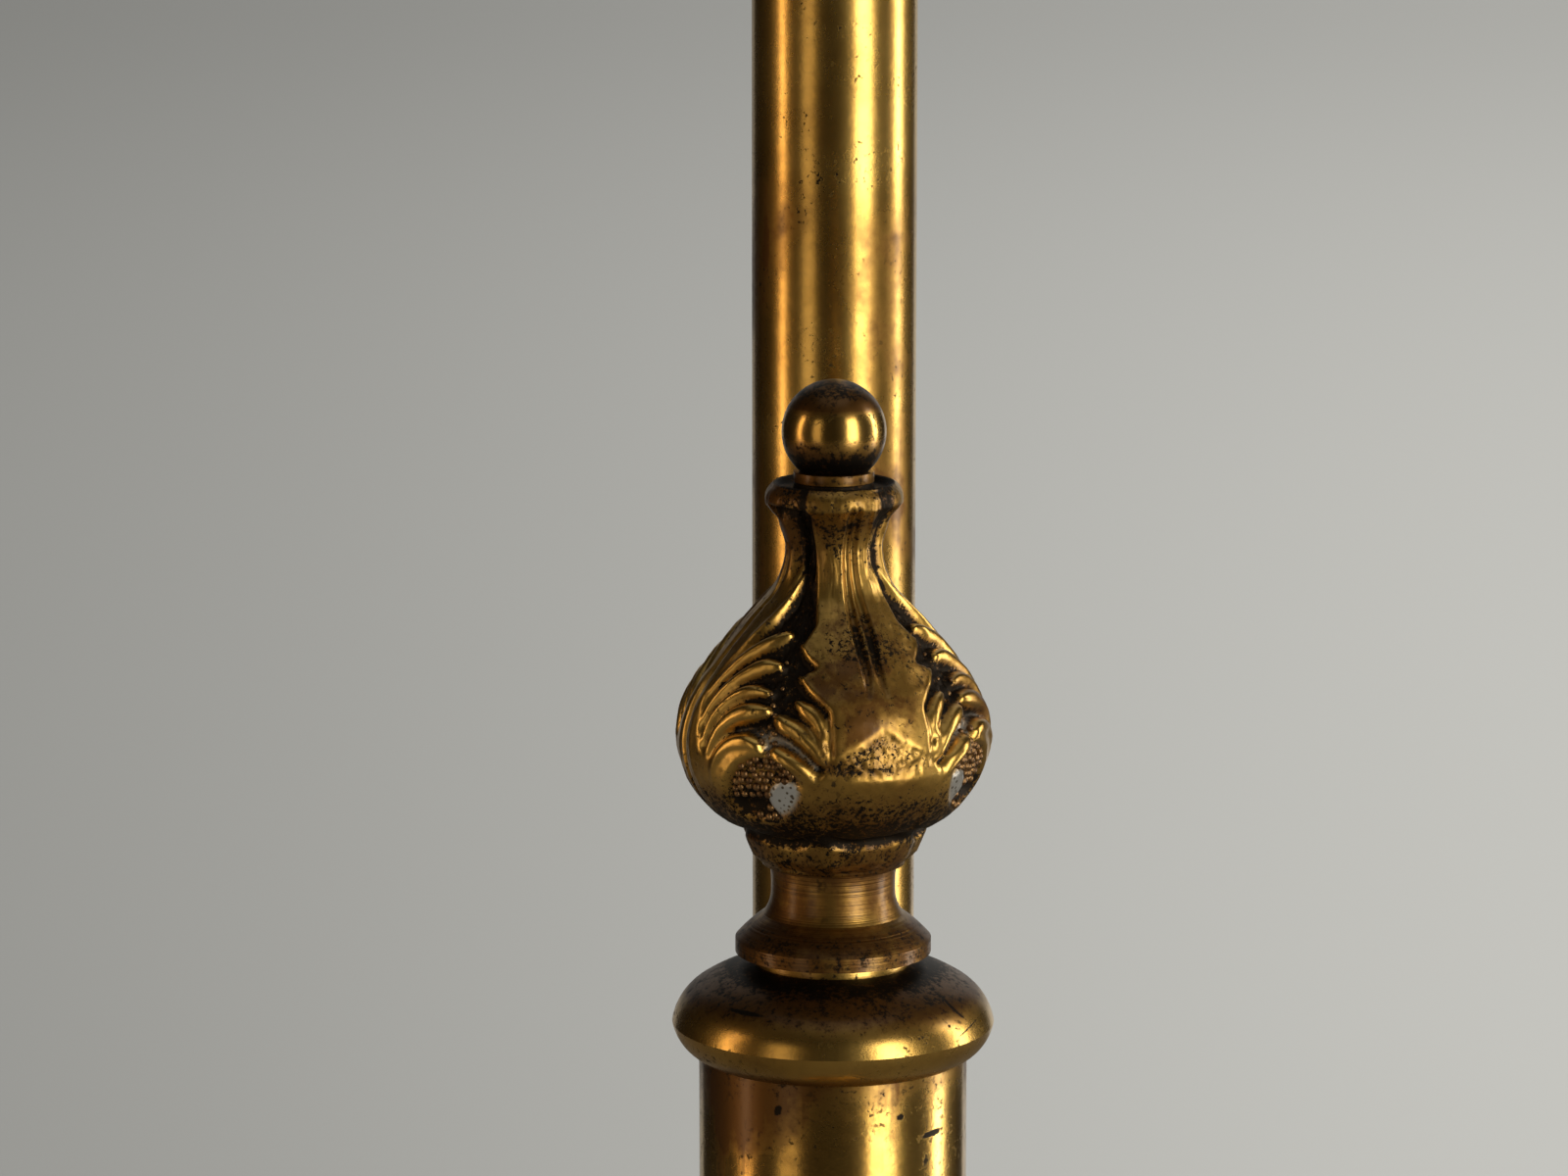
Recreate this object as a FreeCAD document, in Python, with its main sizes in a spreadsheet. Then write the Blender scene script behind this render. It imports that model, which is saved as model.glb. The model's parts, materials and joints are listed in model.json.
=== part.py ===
import FreeCAD, Part
import math
import os
import re
import Sketcher

# Pharmacy floor lamp in aged brass. A thick column with a turned and cast finial stands on a
# weighted base. Two cast brackets hold a thinner pole behind it, which slides up and down.
# A knuckle on the pole's top swivels, an arm tilts on the knuckle, and the hooded head rolls
# on the arm's end.
# Frame: origin at the centre of the base's underside on the column's axis, +Z up, -Y the front,
# the pole on +Y. At rest the arm points along +X. Lengths are in millimetres.

DIMS = {
    # base
    "felt_rad": 130, "felt_thick": 2,
    "weight_rad": 134, "weight_rim": 4, "nut_pocket_rad": 16, "nut_pocket_deep": 12,
    "shell_rad": 140, "shell_z": 1, "shell_wall": 1.5, "shell_rise": 42,
    "shell_roll": 9, "shell_step_rad": 121, "shell_ring_rad": 63,
    "nut_flats": 17, "nut_thick": 6, "lock_washer_thick": 1.5, "lock_washer_rad": 11,
    "nipple_rad": 5, "nipple_bore": 3.4, "nipple_z": 5, "nipple_long": 80,
    "foot_rad": 26, "foot_tall": 38, "foot_seat": 10,
    # column
    "column_rad": 12.5, "column_wall": 1.2, "lip_z": 900, "cap_seat": 4, "insert_long": 20,
    # finial, heights above the cap's lip
    "stud_rad": 3, "stud_long": 72,
    "cap_belly_z": 3.1, "cap_rad": 15, "cap_brow_rad": 12.4, "cap_brow_z": 6.8, "cap_top": 8.7,
    "washer_rad": 7.3, "washer_top": 9.75,
    "band_rad": 9.1, "band_tall": 1.3, "shoulder_rad": 6.5, "shoulder_z": 3.6,
    "pedestal_neck": 5.76, "pedestal_tall": 8.4, "pedestal_top_rad": 6.6,
    "skirt_rad": 8.75, "skirt_z": 3.4, "bulb_rad": 14.77, "bulb_rad_z": 12.25,
    "bulb_brow_rad": 12.07, "bulb_brow_z": 18.75, "bulb_nape_rad": 6.6, "bulb_nape_z": 25.2,
    "bulb_neck_rad": 4.6, "bulb_neck_z": 29.9, "flare_rad": 6.5, "flare_z": 33.7,
    "bulb_rim_rad": 5.9, "bulb_tall": 35.75,
    "disc_rad": 3.7, "disc_thick": 0.9, "ball_rad": 4.8, "ball_flat_rad": 3.1,
    # pole and brackets
    "pole_y": 95, "pole_rad": 9, "pole_wall": 1.5, "pole_z": 300, "pole_long": 990,
    "key_wide": 4, "key_deep": 1,
    "hub_rad": 17.5, "hub_tall": 26, "hub_bead": 1.8, "pole_hub_rad": 15, "pole_hub_tall": 30,
    "bar_rad": 6.5, "bar_knop_rad": 10, "bush_rad": 11, "bush_lip_rad": 12.5, "bush_lip": 1.5,
    "upper_z": 800, "lower_z": 520, "grub_rad": 2, "grub_long": 4.5, "run_fit": 0.05,
    "ferrule_rad": 10.5, "ferrule_bore": 5.5, "bush_bore": 3.5, "cord_bush_rad": 7.5,
    # clamp, distances behind the pole's axis
    "boss_rad": 7.5, "boss_long": 24, "pad_tip_rad": 1.9, "pad_head_rad": 3.9,
    "pad_start": 8.05, "pad_shoulder": 12, "pad_end": 14, "screw_rad": 3,
    "screw_start": 14.3, "screw_long": 20, "clamp_knob_start": 25.8,
    "clamp_knob_rad": 11, "clamp_knob_long": 13,
    # swivel and tilt
    "collar_rad": 11, "spigot_rad": 5, "spigot_bore": 3.2, "spigot_long": 14, "spigot_z": 22,
    "groove_rad": 4.2, "groove_z": 5.5, "groove_tall": 3.6, "swivel_groove_turn": 330,
    "set_screw_rad": 1.5, "swivel_washer": 1, "body_gap": 0.3,
    "knuckle_rad": 12.5, "knuckle_foot_rad": 9.5, "knuckle_neck_rad": 8, "knuckle_centre": 26.7,
    "knuckle_flat": 9, "tilt_washer": 1, "tilt_washer_rad": 8.5,
    "arm_offset": 20, "arm_rad": 6, "arm_wall": 1, "arm_reach": 300, "arm_tail": 36,
    "arm_hub_rad": 10, "bolt_rad": 3, "bolt_grip": 3.2, "tail_ball_rad": 7.5,
    "tilt_knob_rad": 10, "tilt_knob_long": 12, "spring_washer": 1.5,
    # head, distances along the arm from the swivel axis
    "end_collar_rad": 8.5, "head_spigot_rad": 4, "head_spigot_bore": 2.8, "head_spigot_long": 13,
    "head_groove_rad": 3.3, "head_groove_turn": 300, "head_screw_rad": 1.2, "head_groove_tall": 3,
    "head_flange_rad": 12, "head_neck_rad": 8, "head_collar_rad": 9,
    "shade_start": 325, "shade_wall": 1.2, "shade_rad": 50, "shade_long": 205, "shade_drop": 10,
    "shade_skirt": 14, "rim_out": 1.6, "rim_tall": 3, "vent_wide": 3, "vent_long": 22,
    "vent_step": 9, "ring_rad": 12, "ring_thick": 3,
    "cup_rad": 19, "cup_wall": 1.2, "cup_long": 46, "insulator_rad": 16.5, "insulator_long": 13,
    "screw_shell_rad": 14, "screw_shell_wall": 0.6, "screw_shell_long": 22, "contact_rad": 5,
    "bulb_cap_rad": 13.2, "bulb_cap_long": 24, "glass_rad": 15, "glass_long": 105,
    "glass_wall": 1,
    "switch_rise": 27.5, "switch_rad": 7, "switch_long": 16, "switch_neck_rad": 5,
    "switch_neck_long": 5, "bezel_rad": 8.5, "bezel_thick": 2.6, "switch_shaft_rad": 2.5,
    "switch_knob_rad": 7.5, "switch_knob_long": 14,
}

UP = FreeCAD.Rotation()
TO_X = FreeCAD.Rotation(FreeCAD.Vector(0, 1, 0), 90)
TO_MINUS_X = FreeCAD.Rotation(FreeCAD.Vector(0, 1, 0), -90)
TO_Y = FreeCAD.Rotation(FreeCAD.Vector(1, 0, 0), -90)
TO_MINUS_Y = FreeCAD.Rotation(FreeCAD.Vector(1, 0, 0), 90)
TO_MINUS_Z = FreeCAD.Rotation(FreeCAD.Vector(1, 0, 0), 180)
QUARTER_BACK = FreeCAD.Rotation(FreeCAD.Vector(0, 0, 1), -90)
ARCH_TO_X = TO_X.multiply(FreeCAD.Rotation(FreeCAD.Vector(0, 0, 1), 90))

# places used more than once
COLUMN_SEAT_Z = "(shell_z + shell_rise + foot_seat)"
FINIAL_Z = "(lip_z + washer_top)"
BULB_Z = "(lip_z + washer_top + pedestal_tall)"
DISC_Z = "(lip_z + washer_top + pedestal_tall + bulb_tall)"
POLE_TOP_Z = "(pole_z + pole_long)"
KNUCKLE_Z = "(pole_z + pole_long - 10 + spigot_z + swivel_washer + body_gap)"
TILT_Z = "(pole_z + pole_long - 10 + spigot_z + swivel_washer + body_gap + knuckle_centre)"
ARM_Y = "(pole_y - arm_offset)"
SHADE_Z = f"({TILT_Z} - shade_drop)"

DOC = FreeCAD.newDocument("pharmacy_floor_lamp")
SHEET = DOC.addObject("Spreadsheet::Sheet", "sheet")
for row, (alias, size) in enumerate(DIMS.items(), 1):
    SHEET.set(f"A{row}", alias)
    SHEET.set(f"B{row}", str(size))
    SHEET.setAlias(f"B{row}", alias)
DOC.recompute()

NODES = []


def bound(text):
    """The expression with each driving dimension pointed at its cell."""
    return re.sub(r"[a-z_]+", lambda m: f"sheet.{m[0]}" if m[0] in DIMS else m[0], text)


def number(text):
    return float(SHEET.evalExpression(bound(text)))


def put(item, place, turn):
    """Turns an object, then binds its place to the sheet."""
    item.Placement = FreeCAD.Placement(FreeCAD.Vector(), turn)
    for axis, text in zip("xyz", place):
        if text != "0":
            item.setExpression(f"Placement.Base.{axis}", bound(text))


def node(item, name):
    item.Label = name
    NODES.append(item)
    return item


def origin_plane(body, role):
    return next(item for item in body.Origin.OriginFeatures if item.Role == role)


def body_sketch(body, name, role):
    sketch = body.newObject("Sketcher::SketchObject", name)
    sketch.AttachmentSupport = (origin_plane(body, role), [""])
    sketch.MapMode = "FlatFace"
    return sketch


def edge_between(start, end, bulge):
    """A line, or with a bulge an arc of that radius: above 0 turning left, below 0 turning right."""
    if not bulge:
        return Part.LineSegment(start, end)
    chord = end - start
    left = FreeCAD.Vector(-chord.y, chord.x, 0).normalize()
    side = math.copysign(1, bulge)
    to_centre = math.sqrt(bulge ** 2 - (chord.Length / 2) ** 2)
    middle = (start + end) / 2 + left * side * (to_centre - abs(bulge))
    return Part.Arc(start, middle, end)


def draw_outline(sketch, outline):
    """A closed outline of (across, up[, radius of the arc that arrives]) corners, all sheet-bound."""
    corners = [FreeCAD.Vector(number(corner[0]), number(corner[1]), 0) for corner in outline]
    ends = []
    for index, corner in enumerate(outline):
        bulge = number(corner[2]) if len(corner) > 2 else 0
        sketch.addGeometry(edge_between(corners[index - 1], corners[index], bulge), False)
        ends.append((2, 1) if bulge < 0 else (1, 2))
        if bulge:
            held = sketch.addConstraint(Sketcher.Constraint("Radius", index, abs(bulge)))
            sketch.setExpression(f"Constraints[{held}]", bound(f"abs({corner[2]})"))
    for index, corner in enumerate(outline):
        following = (index + 1) % len(outline)
        last = ends[index][1]
        sketch.addConstraint(Sketcher.Constraint("Coincident", index, last, following,
                                                 ends[following][0]))
        for text, kind, axis, where in ((corner[0], "DistanceX", -2, corners[index].x),
                                        (corner[1], "DistanceY", -1, corners[index].y)):
            if text == "0":
                sketch.addConstraint(Sketcher.Constraint("PointOnObject", index, last, axis))
            else:
                held = sketch.addConstraint(Sketcher.Constraint(kind, -1, 1, index, last, where))
                sketch.setExpression(f"Constraints[{held}]", bound(text))


def lathe(name, outline, place=("0", "0", "0"), turn=UP):
    """A turned piece: the outline of (radius, height) corners revolved about the body's own Z."""
    body = DOC.addObject("PartDesign::Body", name)
    sketch = body_sketch(body, name + "_outline", "XZ_Plane")
    draw_outline(sketch, outline)
    turned = body.newObject("PartDesign::Revolution", name + "_turned")
    turned.Profile = sketch
    turned.ReferenceAxis = (sketch, ["V_Axis"])
    turned.Angle = 360
    put(body, place, turn)
    return node(body, name)


def lathe_blank(name, outline, place, turn=UP):
    """A turned piece that a boolean works on next, so it isn't a node itself."""
    body = lathe(name, outline, place, turn)
    NODES.remove(body)
    return body


def ring_outline(inner, outer, tall):
    return [(inner, "0"), (outer, "0"), (outer, tall), (inner, tall)]


def flute(body, count, reach, cutter):
    """Scallops round a knob's edge: one pocket along the axis, then a polar pattern of it."""
    DOC.recompute()
    whole = body.Shape.Volume
    sketch = body_sketch(body, body.Name + "_flute", "XY_Plane")
    sketch.addGeometry(Part.Circle(FreeCAD.Vector(number(reach), 0, 0), FreeCAD.Vector(0, 0, 1),
                                   number(cutter)), False)
    held = sketch.addConstraint(Sketcher.Constraint("Radius", 0, number(cutter)))
    sketch.setExpression(f"Constraints[{held}]", bound(cutter))
    held = sketch.addConstraint(Sketcher.Constraint("DistanceX", -1, 1, 0, 3, number(reach)))
    sketch.setExpression(f"Constraints[{held}]", bound(reach))
    sketch.addConstraint(Sketcher.Constraint("PointOnObject", 0, 3, -1))
    pocket = body.newObject("PartDesign::Pocket", body.Name + "_pocket")
    pocket.Profile = sketch
    pocket.Type = "ThroughAll"
    pocket.Reversed = True
    DOC.recompute()
    pattern = body.newObject("PartDesign::PolarPattern", body.Name + "_flutes")
    pattern.Originals = [pocket]
    pattern.Axis = (sketch, ["N_Axis"])
    pattern.Angle = 360
    pattern.Occurrences = count
    body.Tip = pattern
    DOC.recompute()
    if body.Shape.Volume >= whole:
        raise RuntimeError(f"{body.Label}: the flutes cut nothing")


def solid(kind, name, place=("0", "0", "0"), turn=UP, **sizes):
    """A Part primitive with its sizes and place bound to the sheet."""
    item = DOC.addObject(f"Part::{kind}", name)
    put(item, place, turn)
    for size, text in sizes.items():
        item.setExpression(size, bound(text))
    return item


def fused(name, *pieces):
    item = DOC.addObject("Part::MultiFuse", name)
    item.Shapes = list(pieces)
    item.Refine = True
    return item


def cut(name, base, *tools):
    item = DOC.addObject("Part::Cut", name)
    item.Base = base
    item.Tool = tools[0] if len(tools) == 1 else fused(name + "_tools", *tools)
    item.Refine = True
    return item


def spigot_groove(name, place, turn, outer, inner, tall, sweep):
    """A groove round a spigot, open over part of a turn: its ends are the joint's stops."""
    facing = turn.multiply(FreeCAD.Rotation(FreeCAD.Vector(0, 0, 1), -number(sweep) / 2))
    around = solid("Cylinder", name + "_around", place, facing, Radius=f"{outer} + 1", Height=tall,
                   Angle=sweep)
    core = solid("Cylinder", name + "_core", place, turn, Radius=inner, Height=tall)
    return cut(name, around, core)


# ---------------------------------------------------------------- base
def make_base():
    lathe("base_felt", [("0", "0"), ("felt_rad", "0"), ("felt_rad", "felt_thick"),
                        ("0", "felt_thick")])
    lathe("base_weight", [
        ("nut_pocket_rad", "0"), ("weight_rad", "0"), ("weight_rad", "weight_rim"),
        ("shell_rad - shell_roll - 2", "10.5"), ("shell_step_rad - 3", "10.5"),
        ("shell_step_rad - 5", "13"), ("shell_ring_rad + 6", "23"), ("shell_ring_rad - 3", "24"),
        ("shell_ring_rad - 6", "27"), ("22", "shell_rise - 8"), ("14", "shell_rise - 7"),
        ("14", "shell_rise + shell_z - shell_wall - felt_thick"),
        ("nipple_rad", "shell_rise + shell_z - shell_wall - felt_thick"),
        ("nipple_rad", "nut_pocket_deep"), ("nut_pocket_rad", "nut_pocket_deep"),
    ], ("0", "0", "felt_thick"))
    # a spun shell: rolled edge, low step, shallow dome, ring, then a steeper cone to the collar
    lathe("base_shell", [
        ("shell_rad - shell_wall", "0"), ("shell_rad", "0"), ("shell_rad", "5"),
        ("shell_rad - shell_roll", "5 + shell_roll", "shell_roll"),
        ("shell_step_rad", "5 + shell_roll"), ("shell_step_rad - 2", "8 + shell_roll"),
        ("shell_ring_rad + 6", "28", "150"), ("shell_ring_rad + 1", "28"),
        ("shell_ring_rad - 1", "31"), ("foot_rad - 1", "shell_rise", "95"),
        ("nipple_rad", "shell_rise"), ("nipple_rad", "shell_rise - shell_wall"),
        ("foot_rad - 2", "shell_rise - shell_wall"),
        ("shell_ring_rad - 1 - shell_wall", "31 - shell_wall", "-95"),
        ("shell_ring_rad + 1 - shell_wall", "28 - shell_wall"),
        ("shell_ring_rad + 6", "28 - shell_wall"),
        ("shell_step_rad - 2 - shell_wall", "8 + shell_roll - shell_wall", "-150"),
        ("shell_step_rad - shell_wall", "5 + shell_roll - shell_wall"),
        ("shell_rad - shell_roll", "5 + shell_roll - shell_wall"),
        ("shell_rad - shell_wall", "5", "shell_wall - shell_roll"),
    ], ("0", "0", "shell_z"))
    nut_z = "felt_thick + nut_pocket_deep - lock_washer_thick - nut_thick"
    block = solid("Prism", "lock_nut_block", ("0", "0", nut_z), Polygon="6",
                  Circumradius="nut_flats / sqrt(3)", Height="nut_thick")
    bore = solid("Cylinder", "lock_nut_bore", ("0", "0", nut_z), Radius="nipple_rad",
                 Height="nut_thick")
    node(cut("base_lock_nut", block, bore), "base_lock_nut")
    lathe("base_lock_washer", ring_outline("nipple_rad", "lock_washer_rad", "lock_washer_thick"),
          ("0", "0", "felt_thick + nut_pocket_deep - lock_washer_thick"))
    lathe("stem_nipple", ring_outline("nipple_bore", "nipple_rad", "nipple_long"),
          ("0", "0", "nipple_z"))
    # the turned collar that the column stands in
    lathe("column_foot", [
        ("nipple_rad", "0"), ("foot_rad", "0"), ("foot_rad", "3"), ("foot_rad - 2", "5.5", "3"),
        ("foot_rad - 4", "6"), ("column_rad + 5", "14", "-9"), ("column_rad + 5", "16"),
        ("column_rad + 4", "17.5"), ("column_rad + 3", "29", "-40"), ("column_rad + 4.2", "30"),
        ("column_rad + 4.2", "33", "1.7"), ("column_rad + 2.6", "34"),
        ("column_rad + 1.2", "foot_tall", "-7"), ("column_rad", "foot_tall"),
        ("column_rad", "foot_seat"), ("nipple_rad", "foot_seat"),
    ], ("0", "0", "shell_z + shell_rise"))


# ---------------------------------------------------------------- column and finial
def make_column():
    inner = "column_rad - column_wall"
    tube_long = f"lip_z + cap_seat - {COLUMN_SEAT_Z}"
    lathe("column_tube", ring_outline(inner, "column_rad", tube_long), ("0", "0", COLUMN_SEAT_Z))
    lathe("column_bottom_insert", ring_outline("nipple_rad", inner, "insert_long"),
          ("0", "0", COLUMN_SEAT_Z))
    lathe("column_top_insert", ring_outline("stud_rad", inner, "insert_long"),
          ("0", "0", "lip_z + cap_seat - insert_long"))
    lathe("column_cap", [
        ("column_rad", "0"), ("column_rad + 0.1", "0"), ("cap_rad", "cap_belly_z", "4.2"),
        ("cap_brow_rad", "cap_brow_z", "5.3"), ("washer_rad + 0.2", "cap_top", "14"),
        ("stud_rad", "cap_top"), ("stud_rad", "cap_seat"), ("column_rad", "cap_seat"),
    ], ("0", "0", "lip_z"))


def make_finial():
    lathe("finial_stud", [("0", "0"), ("stud_rad", "0"), ("stud_rad", "stud_long"),
                          ("0", "stud_long")], ("0", "0", "lip_z - 14"))
    lathe("finial_washer", ring_outline("stud_rad", "washer_rad", "washer_top - cap_top"),
          ("0", "0", "lip_z + cap_top"))
    lathe("finial_pedestal", [
        ("stud_rad", "0"), ("band_rad", "0"), ("band_rad", "band_tall"),
        ("shoulder_rad", "shoulder_z", "14"), ("pedestal_neck", "shoulder_z + 2.2", "-3.7"),
        ("pedestal_neck", "pedestal_tall - 1.8"),
        ("pedestal_neck + 0.2", "pedestal_tall", "-8.2"), ("stud_rad", "pedestal_tall"),
    ], ("0", "0", FINIAL_Z))
    # the cast bulb: scalloped skirt, full belly, fluted neck and flared lip
    lathe("finial_bulb", [
        ("stud_rad", "0"), ("pedestal_top_rad", "0"), ("pedestal_top_rad + 1.2", "1.2"),
        ("skirt_rad", "skirt_z"), ("bulb_rad", "bulb_rad_z", "9.65"),
        ("bulb_brow_rad", "bulb_brow_z", "11.7"), ("bulb_nape_rad", "bulb_nape_z", "69"),
        ("bulb_neck_rad", "bulb_neck_z", "-6.2"), ("flare_rad", "flare_z", "-8.3"),
        ("bulb_rim_rad", "bulb_tall"), ("stud_rad", "bulb_tall"),
    ], ("0", "0", BULB_Z))
    lathe("finial_disc", ring_outline("stud_rad", "disc_rad", "disc_thick"), ("0", "0", DISC_Z))
    stud_top = f"lip_z - 14 + stud_long - {DISC_Z} - disc_thick"
    ball_rise = "sqrt(ball_rad ^ 2 - ball_flat_rad ^ 2)"
    lathe("finial_ball", [
        ("stud_rad", "0"), ("ball_flat_rad", "0"), ("0", f"ball_rad + {ball_rise}", "ball_rad"),
        ("0", stud_top), ("stud_rad", stud_top),
    ], ("0", "0", f"{DISC_Z} + disc_thick"))


# ---------------------------------------------------------------- brackets, bushes, clamp
def make_bracket(side, floor_z, clamped):
    """A cast bracket: a hub on the column, a bar with a knop, a hub with a bush on the pole."""
    middle = f"({floor_z} + hub_tall / 2)"
    name = f"{side}_bracket"
    pole_floor = f"({middle} - pole_hub_tall / 2)"
    pieces = [
        solid("Cylinder", name + "_hub", ("0", "0", floor_z), Radius="hub_rad", Height="hub_tall"),
        solid("Cylinder", name + "_pole_hub", ("0", "pole_y", pole_floor), Radius="pole_hub_rad",
              Height="pole_hub_tall"),
        solid("Cylinder", name + "_bar", ("0", "0", middle), TO_Y, Radius="bar_rad",
              Height="pole_y"),
        solid("Sphere", name + "_knop", ("0", "(pole_y + hub_rad - pole_hub_rad) / 2", middle),
              Radius="bar_knop_rad"),
    ]
    for end in ("0", "hub_tall"):
        pieces.append(solid("Torus", f"{name}_bead_{end}", ("0", "0", f"{floor_z} + {end}"),
                            Radius1="hub_rad - hub_bead", Radius2="hub_bead"))
    for end in ("0", "pole_hub_tall"):
        pieces.append(solid("Torus", f"{name}_pole_bead_{end}",
                            ("0", "pole_y", f"{pole_floor} + {end}"),
                            Radius1="pole_hub_rad - hub_bead", Radius2="hub_bead"))
    bores = [
        solid("Cylinder", name + "_column_bore", ("0", "0", f"{floor_z} - 5"),
              Radius="column_rad", Height="hub_tall + 10"),
        solid("Cylinder", name + "_bush_bore", ("0", "pole_y", f"{pole_floor} - 5"),
              Radius="bush_rad", Height="pole_hub_tall + 10"),
        solid("Cylinder", name + "_grub_bore", ("0", "0", middle), TO_X, Radius="grub_rad",
              Height="hub_rad + 5"),
    ]
    if clamped:
        pieces.append(solid("Cylinder", name + "_boss", ("0", "pole_y", middle), TO_Y,
                            Radius="boss_rad", Height="boss_long"))
        bores.append(solid("Cylinder", name + "_pad_bore", ("0", "pole_y", middle), TO_Y,
                           Radius="pad_head_rad + run_fit", Height="pad_end + 2.2"))
        bores.append(solid("Cylinder", name + "_screw_bore", ("0", "pole_y", middle), TO_Y,
                           Radius="screw_rad + run_fit", Height="boss_long + 5"))
    node(cut(name, fused(name + "_casting", *pieces), *bores), name)
    make_bush(side, pole_floor, middle, clamped)
    return solid("Cylinder", name + "_grub", ("column_rad", "0", middle), TO_X,
                 Radius="grub_rad", Height="grub_long")


def make_bush(side, pole_floor, middle, clamped):
    """A guide bush with a lip at its top, bored to run on the pole."""
    name = f"{side}_guide_bush"
    lip_z = f"{pole_floor} + pole_hub_tall + hub_bead"
    sleeve = solid("Cylinder", name + "_sleeve", ("0", "pole_y", pole_floor), Radius="bush_rad",
                   Height="pole_hub_tall + hub_bead")
    lip = solid("Cylinder", name + "_lip", ("0", "pole_y", lip_z), Radius="bush_lip_rad",
                Height="bush_lip")
    bores = [solid("Cylinder", name + "_bore", ("0", "pole_y", f"{pole_floor} - 5"),
                   Radius="pole_rad + run_fit", Height="pole_hub_tall + 15")]
    if clamped:
        bores.append(solid("Cylinder", name + "_pad_bore", ("0", "pole_y", middle), TO_Y,
                           Radius="pad_tip_rad + run_fit", Height="bush_rad + 5"))
    node(cut(name, fused(name + "_blank", sleeve, lip), *bores), name)


def make_brackets():
    grubs = [make_bracket("upper", "upper_z", True), make_bracket("lower", "lower_z", False)]
    screws = DOC.addObject("Part::Compound", "bracket_grub_screws")
    screws.Links = grubs
    node(screws, "bracket_grub_screws")


def make_clamp():
    """The pole clamp: a keyed pad, its thumb screw, and the scalloped knob on the screw."""
    middle = "(upper_z + hub_tall / 2)"
    lathe("clamp_pad", [
        ("0", "0"), ("pad_tip_rad", "0"), ("pad_tip_rad", "pad_shoulder - pad_start"),
        ("pad_head_rad", "pad_shoulder - pad_start"), ("pad_head_rad", "pad_end - pad_start"),
        ("0", "pad_end - pad_start"),
    ], ("0", "pole_y + pad_start", middle), TO_Y)
    lathe("clamp_screw", [("0", "0"), ("screw_rad", "0"), ("screw_rad", "screw_long"),
                          ("0", "screw_long")], ("0", "pole_y + screw_start", middle), TO_Y)
    knob = lathe("clamp_knob", [
        ("screw_rad", "0"), ("clamp_knob_rad - 4.5", "0"), ("clamp_knob_rad - 4.5", "2"),
        ("clamp_knob_rad - 1", "3.5", "-2"), ("clamp_knob_rad", "4.5", "1.5"),
        ("clamp_knob_rad", "clamp_knob_long - 4"),
        ("clamp_knob_rad - 3", "clamp_knob_long - 1", "3"), ("4", "clamp_knob_long"),
        ("0", "clamp_knob_long"),
        ("0", "screw_start + screw_long - clamp_knob_start"),
        ("screw_rad", "screw_start + screw_long - clamp_knob_start"),
    ], ("0", "pole_y + clamp_knob_start", middle), TO_Y)
    flute(knob, 15, "clamp_knob_rad + 0.8", "1.4")


# ---------------------------------------------------------------- pole
def make_pole():
    inner = "pole_rad - pole_wall"
    tube = solid("Cylinder", "pole_blank", ("0", "pole_y", "pole_z"), Radius="pole_rad",
                 Height="pole_long")
    bore = solid("Cylinder", "pole_bore", ("0", "pole_y", "pole_z - 5"), Radius=inner,
                 Height="pole_long + 10")
    keyway = solid("Box", "pole_keyway",
                   ("-key_wide / 2", "pole_y + pole_rad - key_deep", "pole_z + 30"),
                   Length="key_wide", Width="key_deep + 5", Height="pole_long - 60")
    node(cut("pole_tube", tube, bore, keyway), "pole_tube")
    lathe("pole_foot_ferrule", [
        ("ferrule_bore", "0"), ("pole_rad", "0"), ("ferrule_rad", "1.5", "1.8"),
        ("ferrule_rad", "8"), ("pole_rad", "10", "2.4"), (inner, "10"), (inner, "22"),
        ("ferrule_bore", "22"),
    ], ("0", "pole_y", "pole_z - 10"))
    lathe("cord_bush", [
        ("bush_bore", "0"), ("cord_bush_rad - 1.5", "0"), ("cord_bush_rad", "1.5", "1.5"),
        ("cord_bush_rad", "4"), ("ferrule_bore", "4"), ("ferrule_bore", "18"),
        ("bush_bore", "18"),
    ], ("0", "pole_y", "pole_z - 14"))
    # the top ferrule, whose spigot carries the swivel
    blank = lathe_blank("pole_top_ferrule_blank", [
        ("spigot_bore", "0"), (inner, "0"), (inner, "10"), ("pole_rad", "10"),
        ("collar_rad", "13", "-4.5"), ("collar_rad", "17"), ("collar_rad - 2", "spigot_z", "5.5"),
        ("spigot_rad", "spigot_z"), ("spigot_rad", "spigot_z + spigot_long"),
        ("spigot_bore", "spigot_z + spigot_long"),
    ], ("0", "pole_y", f"{POLE_TOP_Z} - 10"))
    groove = spigot_groove("swivel_groove", ("0", "pole_y", f"{KNUCKLE_Z} + groove_z"), UP,
                           "spigot_rad", "groove_rad", "groove_tall", "swivel_groove_turn")
    node(cut("pole_top_ferrule", blank, groove), "pole_top_ferrule")
    lathe("swivel_washer", ring_outline("spigot_rad", "knuckle_foot_rad - 0.7", "swivel_washer"),
          ("0", "pole_y", f"{POLE_TOP_Z} - 10 + spigot_z"))


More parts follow.
